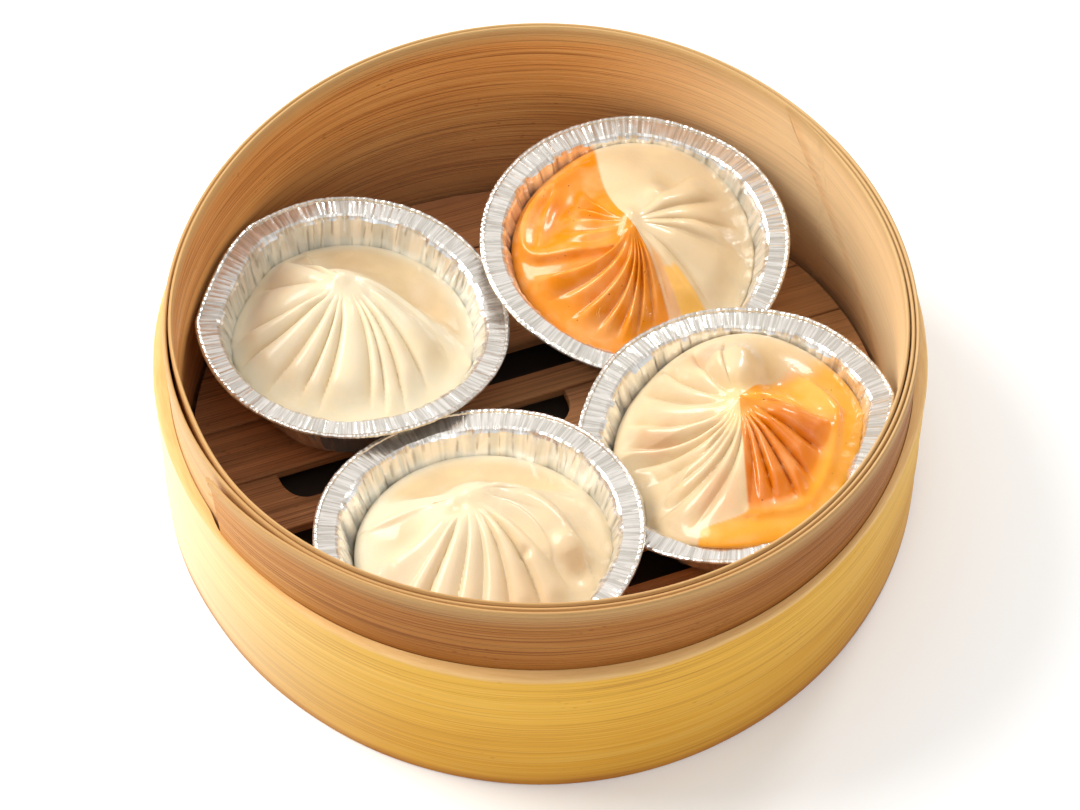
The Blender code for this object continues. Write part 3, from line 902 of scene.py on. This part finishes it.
def make_board(number, turns):
    """One floor board with its slots, its upper edges worn round."""
    board = bmesh.new()
    face = board.faces.new([board.verts.new((*point, FLOOR_BOTTOM))
                            for point in board_outline(number, turns)])
    made = bmesh.ops.extrude_face_region(board, geom=[face])["geom"]
    top = [item for item in made if isinstance(item, bmesh.types.BMVert)]
    bmesh.ops.translate(board, verts=top, vec=(0, 0, FLOOR_TOP - FLOOR_BOTTOM))
    bmesh.ops.remove_doubles(board, verts=board.verts[:], dist=1e-6)
    bmesh.ops.recalc_face_normals(board, faces=board.faces[:])
    rim = [edge for edge in board.edges
           if min(corner.co.z for corner in edge.verts) > FLOOR_TOP - 1e-6]
    bmesh.ops.bevel(board, geom=rim, offset=0.0005, offset_type="OFFSET", segments=2,
                    profile=0.5, affect="EDGES", material=-1, clamp_overlap=True)
    bmesh.ops.triangulate(board, faces=board.faces[:])
    mesh = mesh_from(f"board_{number}", board)
    along, across, height = points_of(mesh).T
    set_values(mesh, "grain", np.column_stack([
        along + 0.37 * number, across + 0.8 * height, np.full_like(along, 0.53 * number)]))
    # Lighter towards the right wall.
    set_values(mesh, "paler_to_right", 0.55 * smooth_step(0.045, 0.088, along)
               * smooth_step(-0.06, 0.01, across))
    cos, sin = math.cos(BOARD_TURN), math.sin(BOARD_TURN)
    set_points(mesh, np.column_stack([
        along * cos - across * sin,
        along * sin + across * cos + SHIFT_BACK - COLLAR_FORWARD, height]))
    return mesh


# Cups and what settles in them


def cup_turn(number):
    """The rotation that leans a cup up to the right and to the back."""
    right_up, back_up = (math.radians(value) for value in CUPS[number]["lean"])
    return Matrix.Rotation(back_up, 4, "X") @ Matrix.Rotation(-right_up, 4, "Y")


def cup_place(number):
    """Where a cup stands: its lowest base edge is on the boards and its rim on its middle."""
    turn = cup_turn(number)
    edge_drop = CUP_BASE_RADIUS * math.sqrt(max(1 - turn.col[2].z ** 2, 0.0))
    rise = turn @ Vector((0, 0, CUP_HEIGHT))
    x, y = CUPS[number]["rim_middle"]
    return Matrix.Translation((x - rise.x, y - rise.y + SHIFT_BACK,
                               FLOOR_TOP + GAP + edge_drop)) @ turn


def placed(number, points):
    """Points of a cup's own frame, moved to where the cup stands."""
    matrix = np.array(cup_place(number))
    return points @ matrix[:3, :3].T + matrix[:3, 3]


def direction_to(number, other):
    """The distance and the angle from one cup's rim middle to another's."""
    step = Vector(CUPS[other]["rim_middle"]) - Vector(CUPS[number]["rim_middle"])
    return step.length, math.atan2(step.y, step.x)


def pressed_by_collar(number, angle, turns):
    """How far a cup's rim is pushed in where it leans on the collar."""
    x, y = CUPS[number]["rim_middle"]
    y += COLLAR_FORWARD
    cos, sin = np.cos(angle), np.sin(angle)
    bearing = np.arctan2(y + CUP_RADIUS * sin, x + CUP_RADIUS * cos)
    limit = collar_bent(bearing, collar_room(turns), FLOOR_TOP + CUP_HEIGHT) - WALL_CLEARANCE
    along = x * cos + y * sin
    room = np.sqrt(limit ** 2 + along ** 2 - x * x - y * y) - along
    return np.maximum(CUP_RADIUS - room, 0.0)


def pressed_by_cup(number, angle):
    """How far a cup's rim is pushed in where another cup's wall comes down beside it."""
    distance, towards = direction_to(number, CUPS[number]["under"])
    away = wrapped(angle - towards)
    keep = WALL_TOP_RADIUS + 0.00025 + LAP_CLEARANCE
    inside = keep ** 2 - (distance * np.sin(away)) ** 2
    room = distance * np.cos(away) - np.sqrt(np.maximum(inside, 0.0))
    touching = (np.abs(away) < math.pi / 2) & (inside > 0)
    return np.where(touching, np.maximum(CUP_RADIUS - room, 0.0), 0.0)


def rim_rise(number, angle):
    """How far a cup's rim is lifted over its lower neighbour or pressed under its upper one."""
    lower = next(other for other in CUPS if CUPS[other]["under"] == number)
    _, over = direction_to(number, lower)
    _, under = direction_to(number, CUPS[number]["under"])
    return (LAP_LIFT * nearness(angle, over, LAP_SPREAD)
            - LAP_DROP * nearness(angle, under, LAP_SPREAD))


def settle(number, points, turns):
    """Bends points of a cup, or of what lies in it, to the way its rim is pushed about."""
    angle, radius, height = polar_of(points)
    level = np.maximum(height / CUP_HEIGHT, 0.0)
    share = np.minimum(radius / CUP_BASE_RADIUS, 1.0)
    leaning = pressed_by_collar(number, angle, turns)
    pressed = np.maximum(pressed_by_cup(number, angle), leaning)
    radius = radius - pressed * np.minimum(level, 1.0) * share
    rise = rim_rise(number, angle) + 0.55 * leaning
    height = height + rise * np.minimum(level, 1.0) ** 2 * share
    return polar(angle, radius, height)


def foil_profile():
    """A cup's foil from the middle of its base, up the wall and out over the rim's bead."""
    top = CUP_HEIGHT
    base = [(CUP_BASE_RADIUS * share, 0.0003) for share in (0.0, 0.35, 0.70, 0.88, 0.96)]
    foot = [(CUP_BASE_RADIUS + 0.0002, 0.0006)]
    wall = [(CUP_BASE_RADIUS + 0.0004 + (WALL_TOP_RADIUS - CUP_BASE_RADIUS - 0.0010) * share,
             0.0011 + (top - 0.0042) * share) for share in np.linspace(0.0, 1.0, 17)]
    first, ledge = WALL_TOP_RADIUS + 0.0007, top - 0.0010
    step = [(first - 0.0010, ledge - 0.0012), (first - 0.0005, ledge - 0.0004), (first, ledge)]
    flange = [(first + (CUP_RADIUS - 0.0012 - first) * share, ledge + 0.0003 * share)
              for share in np.linspace(0.12, 1.0, 9)]
    middle, level, bead = CUP_RADIUS - 0.0006, top - 0.0006, 0.00058
    roll = [(middle + bead * math.cos(turn), level + bead * math.sin(turn))
            for turn in np.radians([130, 85, 40, -5, -50, -95])]
    return base + foot + wall + step + flange + roll


def wall_push(settings, angle, level, slant, seed):
    """How far creases and facets push a cup's wall out, all the way up it."""
    long_folds = crumple(angle + slant, settings.creases, seed + 2)
    short_folds = crumple(angle - slant, 2 * settings.creases, seed + 3)
    patches = smooth_step(-0.6, 0.5, drift(angle * 3 + 2 * level, seed + 4))
    return settings.crease_depth * (
        (0.5 + 0.5 * long_folds) * (0.30 + 0.70 * level) * (0.45 + 0.55 * patches)
        + 0.22 * short_folds * smooth_step(0.45, 0.92, level)
        + 0.36 * crumple(angle + 0.30 * level, 29, seed + 9)
        + 0.36 * crumple(angle - 0.36 * level, 25, seed + 10)) - WALL_SETBACK


def rim_ruffle(settings, angle, radius, seed):
    """How far the rim's fine crimps and broader waves lift it, more towards its edge."""
    outer = smooth_step(WALL_TOP_RADIUS + 0.002, CUP_RADIUS, radius)
    return settings.crimp_depth * (
        crumple(angle, settings.crimps, seed + 5, 0.25) * (0.40 + 0.60 * outer)
        + 0.9 * crumple(angle + 0.02 * outer, 110, seed + 6)) + RIM_WAVE * drift(angle, seed + 7)


def press_foil(number, settings, turns):
    """One cup's foil: creased down its wall, crimped round its rim and settled in its place."""
    mesh = mesh_from(f"cup_{number}", lathe(foil_profile(), 960, closed=False))
    angle, radius, height = polar_of(points_of(mesh))
    level, seed = height / CUP_HEIGHT, 100 * number
    dents = BASE_DENT * drift(radius * (400 * np.cos(angle) + 300 * np.sin(angle)), seed)

    slant = (1 - level) * (0.07 * crumple(angle, 34, seed + 1) + 0.05 * drift(angle * 2, seed))
    on_wall = (smooth_step(CUP_BASE_RADIUS - 0.003, CUP_BASE_RADIUS + 0.001, radius)
               * smooth_step(WALL_TOP_RADIUS + 0.0008, WALL_TOP_RADIUS - 0.0004, radius))
    radius = radius + wall_push(settings, angle, level, slant, seed) * on_wall
    on_flange = smooth_step(WALL_TOP_RADIUS - 0.0008, WALL_TOP_RADIUS + 0.0004, radius)
    height = height + rim_ruffle(settings, angle, radius, seed) * on_flange
    radius = radius + 0.00022 * drift(angle, seed + 8) * on_flange
    dented = height + (dents * smooth_step(CUP_BASE_RADIUS, 0.0, radius)).clip(0)
    points = polar(angle, radius, dented)
    set_points(mesh, placed(number, settle(number, points, turns)))

    set_values(mesh, "spoke", polar(angle, CUP_RADIUS, radius + level * 0.02 + 0.1 * number))
    set_values(mesh, "crimped", 0.30 + 0.8 * on_flange)
    # Thin lines of painted shade along the wall's creases.
    lines = crumple(angle + 1.6 * slant, 64, seed + 12, 0.46)
    patches = smooth_step(-0.3, 0.4, drift(angle * 5 + 3 * level, seed + 13))
    lines = smooth_step(0.15, 0.04, np.abs(lines)) * patches * (0.25 + 0.75 * level)
    set_values(mesh, "painted_crease_shade", 0.62 * lines * on_wall)
    return mesh


# Dumplings


def inward_turn(curls, along, share):
    """How far a fan's valleys have curled round at a share of the way out from the knot."""
    steady = np.interp(along, np.linspace(0.0, 1.0, len(curls)), curls)
    return steady * (1 - share) ** 1.3


def pleats_at(fan, rng, bearing, share):
    """A fan's ridges from 0 to 1 where they are, and how strongly they stand there."""
    valleys, curls, _, reach, pinch = fan
    valleys = np.array(valleys, float)
    first, last = valleys[0], valleys[-1]
    turned = (bearing - first + 20) % 360 + first - 20
    along = np.clip((turned - 0.5 * max(curls) * (1 - share) - first) / (last - first), 0, 1)
    turned = turned - inward_turn(curls, along, share)
    count = len(valleys) - 1
    number = np.clip(np.searchsorted(valleys, turned) - 1, 0, count - 1)
    lean = rng.uniform(0.60, 0.88, count)[number]
    depth = rng.uniform(0.66, 1.12, count)[number]
    reaches = (reach + rng.uniform(-0.07, 0.05, count))[number]
    wide = valleys[number + 1] - valleys[number]
    across = np.clip((turned - valleys[number]) / wide, 0.0, 1.0) ** lean
    ridge = (1 - np.abs(2 * across - 1) ** (2.3 - pinch)) ** (1 + 0.6 * pinch)
    inside = (turned >= first) & (turned <= last)
    out = smooth_step(reaches, reaches - 0.22, share)
    narrow = np.minimum(wide / 13.0, 1.15)
    stand = np.where(inside, smooth_step(0.08, 0.36, share) * (0.42 + 0.75 * share) * out
                     * depth * narrow, 0.0)
    return ridge, stand


def fold_at(path, wide, x, y):
    """A fold's crest along a path of points: gentle to one side and sharp to the other."""
    best, near = np.full_like(x, 1e9), np.zeros_like(x)
    spots = np.array(path)
    for _ in range(2):
        starts, ends = spots[:-1], spots[1:]
        cut = np.stack([0.75 * starts + 0.25 * ends, 0.25 * starts + 0.75 * ends], axis=1)
        spots = np.concatenate([spots[:1], cut.reshape(-1, 2), spots[-1:]])
    for number, (start, end) in enumerate(zip(spots[:-1], spots[1:])):
        way = end - start
        share = ((x - start[0]) * way[0] + (y - start[1]) * way[1]) / (way @ way)
        share = np.clip(share, 0.0, 1.0)
        off_x, off_y = x - start[0] - share * way[0], y - start[1] - share * way[1]
        away = np.hypot(off_x, off_y)
        left = way[0] * off_y - way[1] * off_x > 0
        size = np.where(left == (wide > 0), abs(wide), abs(wide) * 0.30)
        part = (number + share) / (len(spots) - 1)
        height = np.exp(-(away / size) ** 2) * np.sin(math.pi * (0.12 + 0.76 * part)) ** 0.6
        near = np.where(away < best, height, near)
        best = np.minimum(best, away)
    return near


def crown(share, bearing, hollow):
    """Height of the dough from lip (0) to knot (1), and where it has fallen away behind it."""
    share = np.sqrt(share ** 2 + 0.014 * (1 - share))
    cone = 0.52 * (1 - share ** 2.6) + 0.57 * np.clip(1 - share, 0.0, 1.0) ** 1.7
    skirt = 0.14 * (1 - share ** 4) + 0.88 * np.exp(-(share / 0.38) ** 2.6)
    start_in, start_out, end_in, end_out, depth, soft = hollow
    start = start_in + (start_out - start_in) * share
    end = end_in + (end_out - end_in) * share
    turned = (bearing + 90) % 360 - 90
    behind = depth * window(turned, start - soft, start + soft, end - soft, end + soft)
    low = behind * window(share, 0.25, 0.50, 0.80, 1.0)
    return cone + (skirt - cone) * behind, low


def dough_place(plan, angle, share, lip):
    """Where the dough is at an angle and a share of the way from the knot out to the lip."""
    knot_x, knot_y, _ = plan["knot"]
    return np.stack([lip * np.cos(angle) * share + knot_x * (1 - share),
                     lip * np.sin(angle) * share + knot_y * (1 - share)])


def spot(plan, bearing, share):
    return dough_place(plan, math.radians(bearing), share, LIP_RADIUS)


def pleated(plan, rng, bearing, share, x, y, painted_shade_and_deep):
    """How high the pleats and folds stand, and how much painted shade lies on each point down in
    the folds.
    """
    relief = np.zeros_like(x)
    for fan in plan["fans"]:
        ridge, stand = pleats_at(fan, rng, bearing, share)
        relief = np.maximum(relief, fan[2] * ridge * stand)
        # Painted shade down in the pleats' valleys.
        painted_shade_and_deep = np.maximum(painted_shade_and_deep, 0.6 * (1 - ridge) ** 2 * np.minimum(stand, 1.0))
    for path, lift, wide in plan["folds"]:
        crest = fold_at([spot(plan, *place) for place in path], wide, x, y)
        relief = np.maximum(relief, lift * crest) + 0.35 * np.minimum(relief, lift * crest)
        painted_shade_and_deep = painted_shade_and_deep * (1 - 0.6 * crest)
    return relief, painted_shade_and_deep


def distance_to(place, x, y):
    return np.hypot(x - place[0], y - place[1])


def swollen(plan, x, y, painted_shade_and_deep):
    """How high the swells and the knot's bump stand, with painted shade in the hollows."""
    height = plan["hub"] * np.exp(-(distance_to(plan["knot"], x, y) / KNOT_SIZE) ** 2)
    for middle, out, lift, size, edge in plan["swells"]:
        away = distance_to(spot(plan, middle, out), x, y) / size
        height += lift * np.exp(-away ** edge)
        if lift < 0:
            painted_shade_and_deep = np.maximum(painted_shade_and_deep, 0.5 * np.exp(-away ** 2))
    return height, painted_shade_and_deep


def fold_dough(number, settings, turns, steps=480, top_rows=90, under_rows=10):
    """One dumpling: pleats drawn up to a knot, a rounded lip, and the dough down in the cup."""
    plan = DUMPLINGS[number]
    rng = np.random.default_rng(plan["seed"])
    rows = top_rows + under_rows
    blank = [(0.0 if row in (0, rows) else 1.0, -float(row)) for row in range(rows + 1)]
    mesh = mesh_from(f"dough_{number}", lathe(blank, steps, closed=False))
    angle, _, depth = polar_of(points_of(mesh))
    row, bearing = -depth, np.degrees(angle)

    lip, lip_height = np.full_like(angle, LIP_RADIUS), np.full_like(angle, plan["lip_height"])
    for middle, wide, outward, upward in plan["lobes"]:
        lobe = near(angle, middle, wide)
        lip, lip_height = lip + outward * lobe, lip_height + upward * lobe

    share = np.clip(row / top_rows, 0.0, 1.0)
    share = share + 0.06 * np.sin(math.pi * share) * share
    x, y = dough_place(plan, angle, share, lip)
    rise, skirt = crown(share, bearing, plan["hollow"])
    # The dough fallen away behind the knot starts out in painted shade.
    relief, painted_shade_and_deep = pleated(plan, rng, bearing, share, x, y, 0.95 * skirt)
    swells, painted_shade_and_deep = swollen(plan, x, y, painted_shade_and_deep)
    wobble = np.sin(x * 310 + 1.7 * number) * np.cos(y * 270 - 0.9 * number)
    roll = np.clip((share - LIP_START) / (1 - LIP_START), 0.0, 1.0)
    height = (lip_height + (plan["knot"][2] - lip_height) * rise
              + settings.pleat_share * relief + swells
              + DOUGH_WOBBLE * wobble * share * (1 - share ** 6)
              - LIP_ROLL * (1 - np.sqrt(np.clip(1 - roll ** 2, 0.0, 1.0))))

    under = np.clip((row - top_rows) / (under_rows - 1), 0.0, 1.0)
    wall = DUMPLING_BASE_RADIUS + (LIP_RADIUS - DUMPLING_BASE_RADIUS) * (1 - under) ** 0.9
    wall += (lip - LIP_RADIUS) * (1 - under) ** 5 - 0.0001
    down = DUMPLING_BASE + (lip_height - LIP_ROLL - DUMPLING_BASE) * (1 - under)
    wall[row > rows - 0.5] = 0.0
    below = row > top_rows
    top = np.column_stack([x, y, height])
    points = np.where(below[:, None], polar(angle, wall, down), top)
    set_points(mesh, placed(number, settle(number, points, turns)))
    colour_dough(mesh, plan, bearing, share, painted_shade_and_deep, below)
    return mesh


def coloured_parts(plan, bearing, share):
    """How far the dough is coloured at each point, how far golden and how far deep orange."""
    tint = golden = deep = np.zeros_like(bearing)
    if plan["coloured"] is None:
        return tint, golden, deep
    (start, end), spills = plan["coloured"]["between"], plan["coloured"]["spills"]
    wide = end - start
    curled = bearing - plan["coloured"]["curl"] * (1 - share) ** 1.3
    turned = (curled - start + 60) % 360 - 60
    early = 21 * spills * smooth_step(0.78, 0.92, share)
    soft = 1.5 + 16.0 * spills * smooth_step(0.20, 0.75, share)
    tint = smooth_step(-0.9, 0.9, turned + early) * smooth_step(wide + 1.0, wide - soft, turned)
    if spills:
        right = smooth_step(-4, 16, (bearing + 180) % 360 - 180) * smooth_step(0.16, 0.34, share)
        over_lip = smooth_step(0.74, 0.88, share)
        golden = 0.25 * smooth_step(0.30, 0.10, share) + 0.46 * tint * np.maximum(right, over_lip)
        deep = 0.55 * tint * smooth_step(0.90, 0.70, share) * smooth_step(
            372, 355, (bearing - 180) % 360 + 180)
    else:
        past = turned - wide
        patch = window(past, 7, 9, 19, 21) * smooth_step(0.42, 0.48, share)
        strip = 0.46 * (past > -2) * smooth_step(11, 7, past) * smooth_step(0.20, 0.36, share)
        tint = np.maximum.reduce([tint, 0.5 * patch, strip])
        golden = 0.55 * patch
    return tint, golden, deep


def colour_dough(mesh, plan, bearing, share, painted_shade_and_deep, below):
    """Where the dough is coloured, where painted shade lies on it in folds, hollows and on its
    shaded side, and where the filling shows.
    """
    tint, golden, deep = coloured_parts(plan, bearing, share)
    # Painted shade on the side turned away from the key light: the right for dumpling 3, the
    # front for dumpling 4.
    if plan["shaded"] == "right":
        painted_shade_and_deep = np.maximum(painted_shade_and_deep, 0.20 + 0.46 * np.cos(np.radians(bearing + 20)) * share)
    if plan["shaded"] == "front":
        front = near(np.radians(bearing), 245, 60)
        painted_shade_and_deep = np.clip(1.4 * painted_shade_and_deep + 0.34 * front * share, 0.0, 1.0)
    shows = window(share, 0.45, 0.60, 0.74, 0.88)
    spots = smooth_step(0.25, 0.9, np.cos(np.radians(bearing) * 5 + plan["seed"]))
    set_values(mesh, "tint", tint)
    set_values(mesh, "golden", golden)
    # Painted shade, a fixed amount under the lip; the same value also darkens dumpling 4's deep
    # orange middle.
    set_values(mesh, "painted_shade_and_deep", np.where(below, 0.3, np.maximum(painted_shade_and_deep * 0.95, deep + 0.4 * painted_shade_and_deep)))
    set_values(mesh, "filling", plan["thin"] * (1 - tint) * shows * spots)


# Stage


def aim(thing, target):
    thing.rotation_euler = (Vector(target) - thing.location).to_track_quat("-Z", "Y").to_euler()


def lay_table():
    """A plain pale table with a painted shadow: dark under the basket, where only the floor's
    slots look down on it.
    """
    shape = bmesh.new()
    bmesh.ops.create_circle(shape, cap_ends=True, segments=96, radius=TABLE_RADIUS)
    mesh = mesh_from("table", shape)
    material, tree, shader = new_material("pale table", roughness=0.6)
    place = object_place(tree)
    cloud = stretched_noise(tree, place, 6.0, 2.0)
    pale = mix_colours(tree, cloud, (0.95, 0.975, 1.0), (0.97, 0.99, 1.0))
    # Painted shadow: a dark disc on the table under the basket.
    away = add_node(tree, "ShaderNodeVectorMath", {0: place}, operation="LENGTH")
    painted_shadow_under_basket = spread(tree, away.outputs["Value"], PAINTED_SHADOW_RADIUS + 0.004, PAINTED_SHADOW_RADIUS)
    tree.links.new(mix_colours(tree, painted_shadow_under_basket, pale, (0.035, 0.022, 0.014)),
                   shader.inputs["Base Color"])
    mesh.materials.append(material)
    table = bpy.data.objects.new("table", mesh)
    bpy.context.scene.collection.objects.link(table)


def light_room(settings):
    """Even light from all round, and four soft lights."""
    scene = bpy.context.scene
    scene.world = scene.world or bpy.data.worlds.new("soft room")
    scene.world.use_nodes = True
    room = scene.world.node_tree.nodes["Background"]
    room.inputs["Color"].default_value = (1.0, 0.985, 0.965, 1.0)
    room.inputs["Strength"].default_value = settings.sky
    for name, place, size, power, colour in (
        ("key", (-0.81, 0.30, 0.93), 0.75, settings.key_power, (1.0, 0.965, 0.91)),
        ("fill", (0.50, 0.80, 0.80), 0.26, settings.fill_power, (1.0, 1.0, 1.0)),
        ("front", (0.10, -0.55, 1.25), 0.90, 2.0, (1.0, 1.0, 1.0)),
        ("back panel", (0.0, 1.60, 1.90), 2.2, 2.4, (1.0, 0.975, 0.94)),
    ):
        light = bpy.data.lights.new(name, "AREA")
        light.shape, light.size, light.energy, light.color = "DISK", size, power, colour
        lamp = bpy.data.objects.new(name, light)
        lamp.location = place
        aim(lamp, LIGHTS_AIM)
        scene.collection.objects.link(lamp)


def place_camera(settings):
    """The camera looks down into the basket from in front."""
    scene, lens = bpy.context.scene, bpy.data.cameras.new("camera")
    camera = bpy.data.objects.new("camera", lens)
    scene.collection.objects.link(camera)
    camera.location = Vector(CAMERA_AIM) + settings.distance * Vector(
        (0.0, -math.cos(settings.elevation), math.sin(settings.elevation)))
    aim(camera, CAMERA_AIM)
    lens.sensor_width, lens.lens = 36.0, settings.lens
    scene.camera = camera
    scene.view_settings.view_transform = "Standard"


# Operators


class STEAMER_OT_wind_collar(bpy.types.Operator):
    """Winds the bamboo strip into the collar"""

    bl_idname = "steamer.wind_collar"
    bl_label = "Wind collar"

    def execute(self, context):
        settings = context.scene.steamer_basket
        bamboo = collar_material(settings)
        add_piece("collar", wind_strip(settings), bamboo, ["collar_strip"], 40)
        add_piece("collar_splinters", make_splinters(), bamboo, [])
        return {"FINISHED"}


class STEAMER_OT_bend_band(bpy.types.Operator):
    """Bends the thick band round the collar's lower half"""

    bl_idname = "steamer.bend_band"
    bl_label = "Bend band"

    def execute(self, context):
        settings = context.scene.steamer_basket
        add_piece("band", bend_band(), band_material(settings), ["outer_band"], 50)
        return {"FINISHED"}


class STEAMER_OT_lay_floor(bpy.types.Operator):
    """Lays the slotted boards on their ring"""

    bl_idname = "steamer.lay_floor"
    bl_label = "Lay floor"

    def execute(self, context):
        settings = context.scene.steamer_basket
        bamboo = floor_material(settings)
        for number in range(1, BOARD_COUNT + 1):
            add_piece(f"board_{number}", make_board(number, settings.turns), bamboo,
                      [f"floor_board_{number}"], 25)
        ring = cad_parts["floor_ring"]
        ring.material_slots[0].material = ring_material(settings)
        return {"FINISHED"}


class STEAMER_OT_press_cups(bpy.types.Operator):
    """Presses the four foil cups"""

    bl_idname = "steamer.press_cups"
    bl_label = "Press foil cups"

    def execute(self, context):
        foil = foil_material()
        turns = context.scene.steamer_basket.turns
        for number in CUPS:
            mesh = press_foil(number, context.scene.steamer_foil, turns)
            cup = add_piece(f"cup_{number}", mesh, foil, [f"foil_cup_{number}"], 14)
            wall = cup.modifiers.new("Foil thickness", "SOLIDIFY")
            wall.thickness = context.scene.steamer_foil.thickness
            wall.offset = 0.0
        return {"FINISHED"}


class STEAMER_OT_fold_dumplings(bpy.types.Operator):
    """Folds the four pleated dumplings"""

    bl_idname = "steamer.fold_dumplings"
    bl_label = "Fold dumplings"

    def execute(self, context):
        settings = context.scene.steamer_dough
        turns = context.scene.steamer_basket.turns
        plain = dough_material("plain dough", settings, 0.25)
        coloured = dough_material("coloured dough", settings, 0.55, (0.91, 0.81, 0.70))
        for number, plan in DUMPLINGS.items():
            two_tone = plan["coloured"] is not None
            add_piece(f"dough_{number}", fold_dough(number, settings, turns),
                      coloured if two_tone else plain,
                      [f"dumpling_{number}"], 80)
        return {"FINISHED"}


class STEAMER_OT_set_stage(bpy.types.Operator):
    """Sets the table, the lights and the camera"""

    bl_idname = "steamer.set_stage"
    bl_label = "Set stage"

    def execute(self, context):
        settings = context.scene.steamer_stage
        lay_table()
        light_room(settings)
        place_camera(settings)
        return {"FINISHED"}


class STEAMER_PT_panel(bpy.types.Panel):
    """Sizes, colours and the making of each piece"""

    bl_label = "Steamer"
    bl_space_type = "VIEW_3D"
    bl_region_type = "UI"
    bl_category = "Steamer"

    def draw(self, context):
        for title, group, operators in (
            ("Basket", "steamer_basket", (STEAMER_OT_wind_collar, STEAMER_OT_bend_band,
                                          STEAMER_OT_lay_floor)),
            ("Foil", "steamer_foil", (STEAMER_OT_press_cups,)),
            ("Dough", "steamer_dough", (STEAMER_OT_fold_dumplings,)),
            ("Stage", "steamer_stage", (STEAMER_OT_set_stage,)),
        ):
            box = self.layout.box()
            box.label(text=title)
            settings = getattr(context.scene, group)
            for name in settings.__annotations__:
                box.prop(settings, name, text=name.replace("_", " ").capitalize())
            for operator in operators:
                box.operator(operator.bl_idname)


SETTINGS = {"steamer_basket": BasketSettings, "steamer_foil": FoilSettings,
            "steamer_dough": DoughSettings, "steamer_stage": StageSettings}
CLASSES = (*SETTINGS.values(), STEAMER_OT_wind_collar, STEAMER_OT_bend_band,
           STEAMER_OT_lay_floor, STEAMER_OT_press_cups, STEAMER_OT_fold_dumplings,
           STEAMER_OT_set_stage, STEAMER_PT_panel)


def register():
    for made in CLASSES:
        bpy.utils.register_class(made)
    for name, made in SETTINGS.items():
        setattr(bpy.types.Scene, name, bpy.props.PointerProperty(type=made))


def unregister():
    for name in SETTINGS:
        delattr(bpy.types.Scene, name)
    for made in reversed(CLASSES):
        bpy.utils.unregister_class(made)


def main():
    register()
    for step in ("wind_collar", "bend_band", "lay_floor", "press_cups", "fold_dumplings",
                 "set_stage"):
        getattr(bpy.ops.steamer, step)()


if __name__ == "__main__":
    main()
